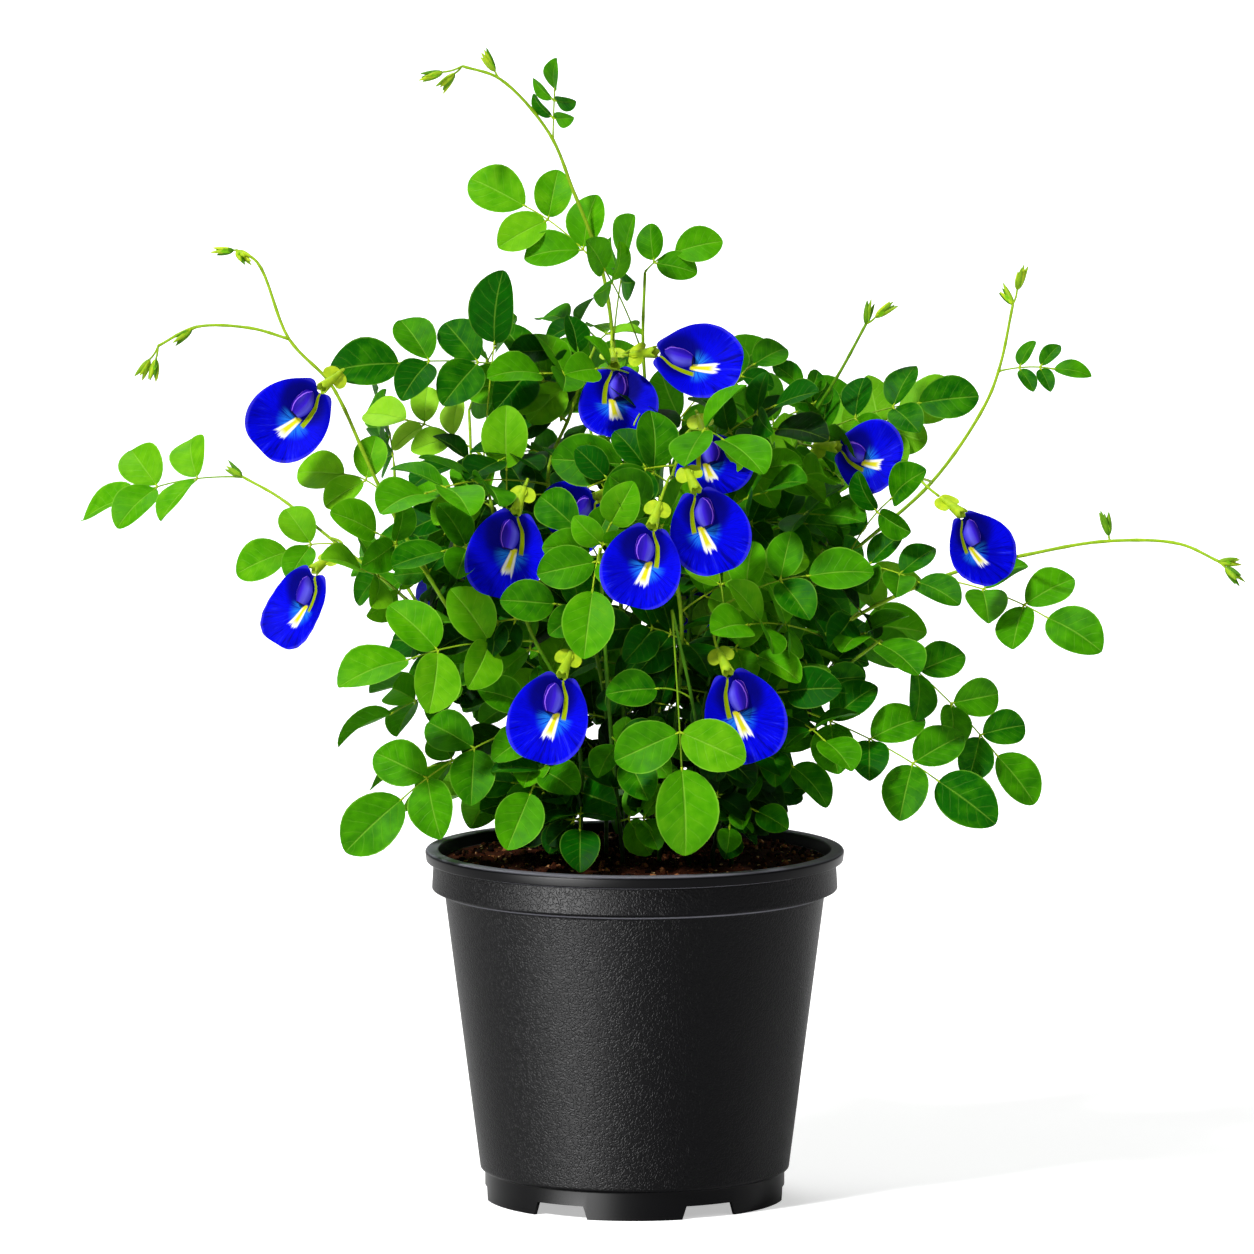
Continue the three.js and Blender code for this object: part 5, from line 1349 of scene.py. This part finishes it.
def drillDrains(pot):  # cuts the drain holes out of the pot's floor
    p = potLook
    drill = newShape()
    for i in range(p["drains"]):
        angle = 2 * np.pi * i / p["drains"]
        x, y = p["drainRing"] * math.cos(angle), p["drainRing"] * math.sin(angle)
        path = np.array([[x, y, z] for z in (p["floorFoot"] - 2, p["floorFoot"], p["floorTop"] + 2)])
        addTube(drill, path, np.full(3, p["drainRadius"]), p["drainSides"], 0)
    cutter = makePiece("drain_drill", drill, [])
    cut = pot.modifiers.new("drain_holes", "BOOLEAN")
    cut.operation, cut.object, cut.solver = "DIFFERENCE", cutter, "EXACT"
    bpy.context.view_layer.update()
    finished = bpy.data.meshes.new_from_object(pot.evaluated_get(bpy.context.evaluated_depsgraph_get()))
    pot.modifiers.clear()
    pot.data = finished
    bpy.data.objects.remove(cutter)
    finished.set_sharp_from_angle(angle=math.radians(p["sharpAngle"]))


def makePot():
    p = potLook
    innerFoot = p["footRadius"] - p["wall"]
    outline = [     # radius, height, rounding
        (0, p["floorFoot"], 0),
        (innerFoot, p["floorFoot"], 0.8),
        (innerFoot, 0, 0.4),
        (p["footRadius"], 0, 0.4),
        (p["footRadius"], p["footHeight"], 0.7),
        (p["bodyFootRadius"], p["footHeight"] + p["step"], 0.8),
        (p["bodyTopRadius"], collarStep, 1.0),
        (p["collarRadius"], collarStep + p["collarSlope"], 0.7),
        (p["collarRadius"] - p["step"], rimFoot, 0.5),
        (p["rimRadius"] - p["taper"], rimFoot + p["step"], 0.5),
        (p["rimRadius"], p["height"] - p["rimDrop"], 0.8),
        (p["rimRadius"] - p["rimEdge"], p["height"], 0.7),
        (p["mouthRadius"], p["height"], 0.7),
        (innerRadius(collarStep), collarStep, 1.2),
        (innerRadius(p["floorTop"]), p["floorTop"], 0.8),
        (0, p["floorTop"], 0),
    ]
    profile = rounded(outline, p["cornerSteps"])
    turn = 2 * np.pi * np.arange(p["sides"]) / p["sides"]
    radius, height = profile[1:-1, :1], profile[1:-1, 1:]
    # the notches: where the turn is near a notch's middle, the foot is no lower than the notch's top
    first = math.radians(p["notchTurn"] - 90)
    pitch = 2 * np.pi / p["notches"]
    off = np.abs((turn - first + pitch / 2) % pitch - pitch / 2) * p["footRadius"]
    lift = p["notchHeight"] * (off < p["notchWidth"] / 2)
    height = np.where(radius > innerFoot - 1, np.maximum(height, lift), height + 0 * turn)
    rings = np.stack([radius * np.cos(turn), radius * np.sin(turn), height], -1)
    points = np.concatenate([[[0, 0, p["floorFoot"]]], rings.reshape(-1, 3), [[0, 0, p["floorTop"]]]])
    shape = newShape()
    addParts(shape, points[None], np.zeros(3), shellFaces(len(rings), p["sides"]))
    drillDrains(makePiece("nursery_pot", shape, [potMaterial], ["pot"]))


makePot()
print("pot made")


# The soil

soilLook = {
    "edge": 167, "crown": 3.4, "gap": 0.35, "sides": 120, "rings": 44, "tone": 0.35, "seed": 11,
    "lump": 1.5, "lumps": [(11, 2.2), (4.5, 1.6), (2.2, 1.0)],      # the lumps' spacing and share of height
    "crumbs": 1500, "crumbMin": 0.4, "crumbMax": 1.7, "crumbRings": 3, "crumbSides": 6, "crumbRise": 0.25,
}


# Smooth value noise on a plane: random heights on a square lattice, blended by 3t^2 - 2t^3
def valueNoise(x, y, cell, seed):
    table = np.random.default_rng(seed).random((64, 64))
    i, j = x / cell, y / cell
    i0, j0 = np.floor(i).astype(int), np.floor(j).astype(int)
    u, v = i - i0, j - j0
    u, v = u * u * (3 - 2 * u), v * v * (3 - 2 * v)
    a, b = table[i0 % 64, j0 % 64], table[(i0 + 1) % 64, j0 % 64]
    c, d = table[i0 % 64, (j0 + 1) % 64], table[(i0 + 1) % 64, (j0 + 1) % 64]
    return (a * (1 - u) + b * u) * (1 - v) + (c * (1 - u) + d * u) * v


def soilHeight(x, y):  # a low heap, crown (1 - r^2), with lumps of three sizes that end at the pot
    look = soilLook
    share = np.hypot(x, y) / innerRadius(look["edge"])
    lumps = sum(size * (valueNoise(x + 500, y + 500, cell, look["seed"] + k) - 0.5)
                for k, (cell, size) in enumerate(look["lumps"]))
    heap = look["edge"] + look["crown"] * (1 - share ** 2)
    return heap + look["lump"] * lumps * np.clip(12 * (1 - share), 0, 1)


def makeSoil():
    look = soilLook
    turn = 2 * np.pi * np.arange(look["sides"]) / look["sides"]
    edge = innerRadius(look["edge"]) - look["gap"]
    radius = edge * np.linspace(0, 1, look["rings"] + 1)[1:, None]
    x, y = radius * np.cos(turn), radius * np.sin(turn)
    rings = [np.stack([x, y, soilHeight(x, y)], -1)]
    bottom = potLook["floorTop"] + look["gap"]
    for height in (collarStep, bottom):
        side = innerRadius(height) - look["gap"]
        ring = np.stack([side * np.cos(turn), side * np.sin(turn), np.full(len(turn), height)], -1)
        rings.append(ring[None])
    rings = np.concatenate(rings)
    top = float(soilHeight(np.array(0.0), np.array(0.0)))
    points = np.concatenate([[[0, 0, top]], rings.reshape(-1, 3), [[0, 0, bottom]]])
    shape = newShape()
    place = np.array([0, 0, look["tone"]])
    addParts(shape, points[None], place, shellFaces(len(rings), look["sides"]))
    makePiece("potting_soil", shape, [soilMaterial], ["soil"])


# Loose crumbs, strewn evenly: each is a small ball that is stretched, and its radius varied, by its own draws
def makeCrumbs():
    look = soilLook
    rng = np.random.default_rng(look["seed"])
    many, rings, sides = look["crumbs"], look["crumbRings"], look["crumbSides"]
    edge = innerRadius(look["edge"]) - look["gap"]
    radius = (edge - 3) * np.sqrt(rng.random(many))
    angle = 2 * np.pi * rng.random(many)
    x, y = radius * np.cos(angle), radius * np.sin(angle)
    size = look["crumbMin"] + (look["crumbMax"] - look["crumbMin"]) * rng.random(many) ** 2.5
    centre = np.stack([x, y, soilHeight(x, y) + look["crumbRise"] * size], -1)
    polar = (np.pi * np.arange(1, rings + 1) / (rings + 1))[:, None]
    turn = 2 * np.pi * np.arange(sides) / sides
    level, height = np.sin(polar), np.cos(polar)
    ball = np.stack([level * np.cos(turn), level * np.sin(turn), height + 0 * turn], -1)
    ball = np.concatenate([[[0, 0, 1]], ball.reshape(-1, 3), [[0, 0, -1]]])
    stretch = size[:, None] * (0.7 + 0.6 * rng.random((many, 3)))
    points = centre[:, None] + ball[None] * stretch[:, None] * (0.75 + 0.5 * rng.random((many, len(ball), 1)))
    place = np.zeros(points.shape)
    place[:, :, 2] = rng.random((many, 1)) ** 1.5
    shape = newShape()
    addParts(shape, points, place, shellFaces(rings, sides))
    makePiece("soil_crumbs", shape, [soilMaterial])


makeSoil()
makeCrumbs()
print("soil made")


# Floor, light and camera. A lamp is (strength, tilt and spin of its way in degrees, softness in degrees).

studio = {
    "floor": 40.0, "white": (0.92, 0.92, 0.92, 1), "glow": 0.46, "air": 0.15,
    "lamps": {"key": (3.6, (44, -44), 8), "fill": (0.5, (52, 55), 40), "back": (1.2, (-34, 20), 30),
              "gloss": (20.0, (98, -42), 30)},
}


def makeStudio():
    material, tree, shader = newMaterial("studio_white")
    lit = Signal(node(tree, "LightPath"), "Is Camera Ray")      # the glow is only seen, it lights nothing
    setAll(shader, {"Base Color": studio["white"], "Roughness": 0.9, "Specular IOR Level": 0.0,
                    "Emission Color": (1, 1, 1, 1), "Emission Strength": lit * studio["glow"]})
    half = studio["floor"] / 2
    corners = [(-half, -half, 0), (half, -half, 0), (half, half, 0), (-half, half, 0)]
    mesh = bpy.data.meshes.new("studio_floor")
    mesh.from_pydata(corners, [], [(0, 1, 2, 3)])
    mesh.materials.append(material)
    floor = bpy.data.objects.new("studio_floor", mesh)
    bpy.context.scene.collection.objects.link(floor)
    world = bpy.data.worlds.new("studio_air")
    world.use_nodes = True
    air = world.node_tree.nodes["Background"]
    lit = Signal(node(world.node_tree, "LightPath"), "Is Camera Ray")      # seen white, its light is dimmer
    setAll(air, {"Color": (1, 1, 1, 1), "Strength": calc("MAXIMUM", lit, studio["air"])})
    bpy.context.scene.world = world
    for name, (strength, (tilt, spin), soft) in studio["lamps"].items():
        light = bpy.data.lights.new(name, "SUN")
        light.energy, light.angle = strength, math.radians(soft)
        lamp = bpy.data.objects.new(name, light)
        lamp.rotation_euler = (math.radians(tilt), 0, math.radians(spin))
        bpy.context.scene.collection.objects.link(lamp)
        if name == "gloss":      # a soft box that only gives the pot its highlight
            lamp.visible_diffuse = lamp.visible_transmission = False
            glossy = bpy.data.collections.new("glossy")
            glossy.objects.link(bpy.data.objects["nursery_pot"])
            lamp.light_linking.receiver_collection = glossy
            lamp.light_linking.blocker_collection = glossy


def makeCamera():
    data = bpy.data.cameras.new("camera")
    data.sensor_width = shot["sensor"]
    data.lens = shot["sensor"] * focal / shot["size"]
    data.clip_end = 100
    camera = bpy.data.objects.new("camera", data)
    camera.location = eye * mm
    camera.rotation_euler = (math.pi / 2 - shot["pitch"], 0, 0)
    bpy.context.scene.collection.objects.link(camera)
    bpy.context.scene.camera = camera


makeStudio()
makeCamera()
bpy.context.scene.view_settings.view_transform = "Standard"
print("studio made")
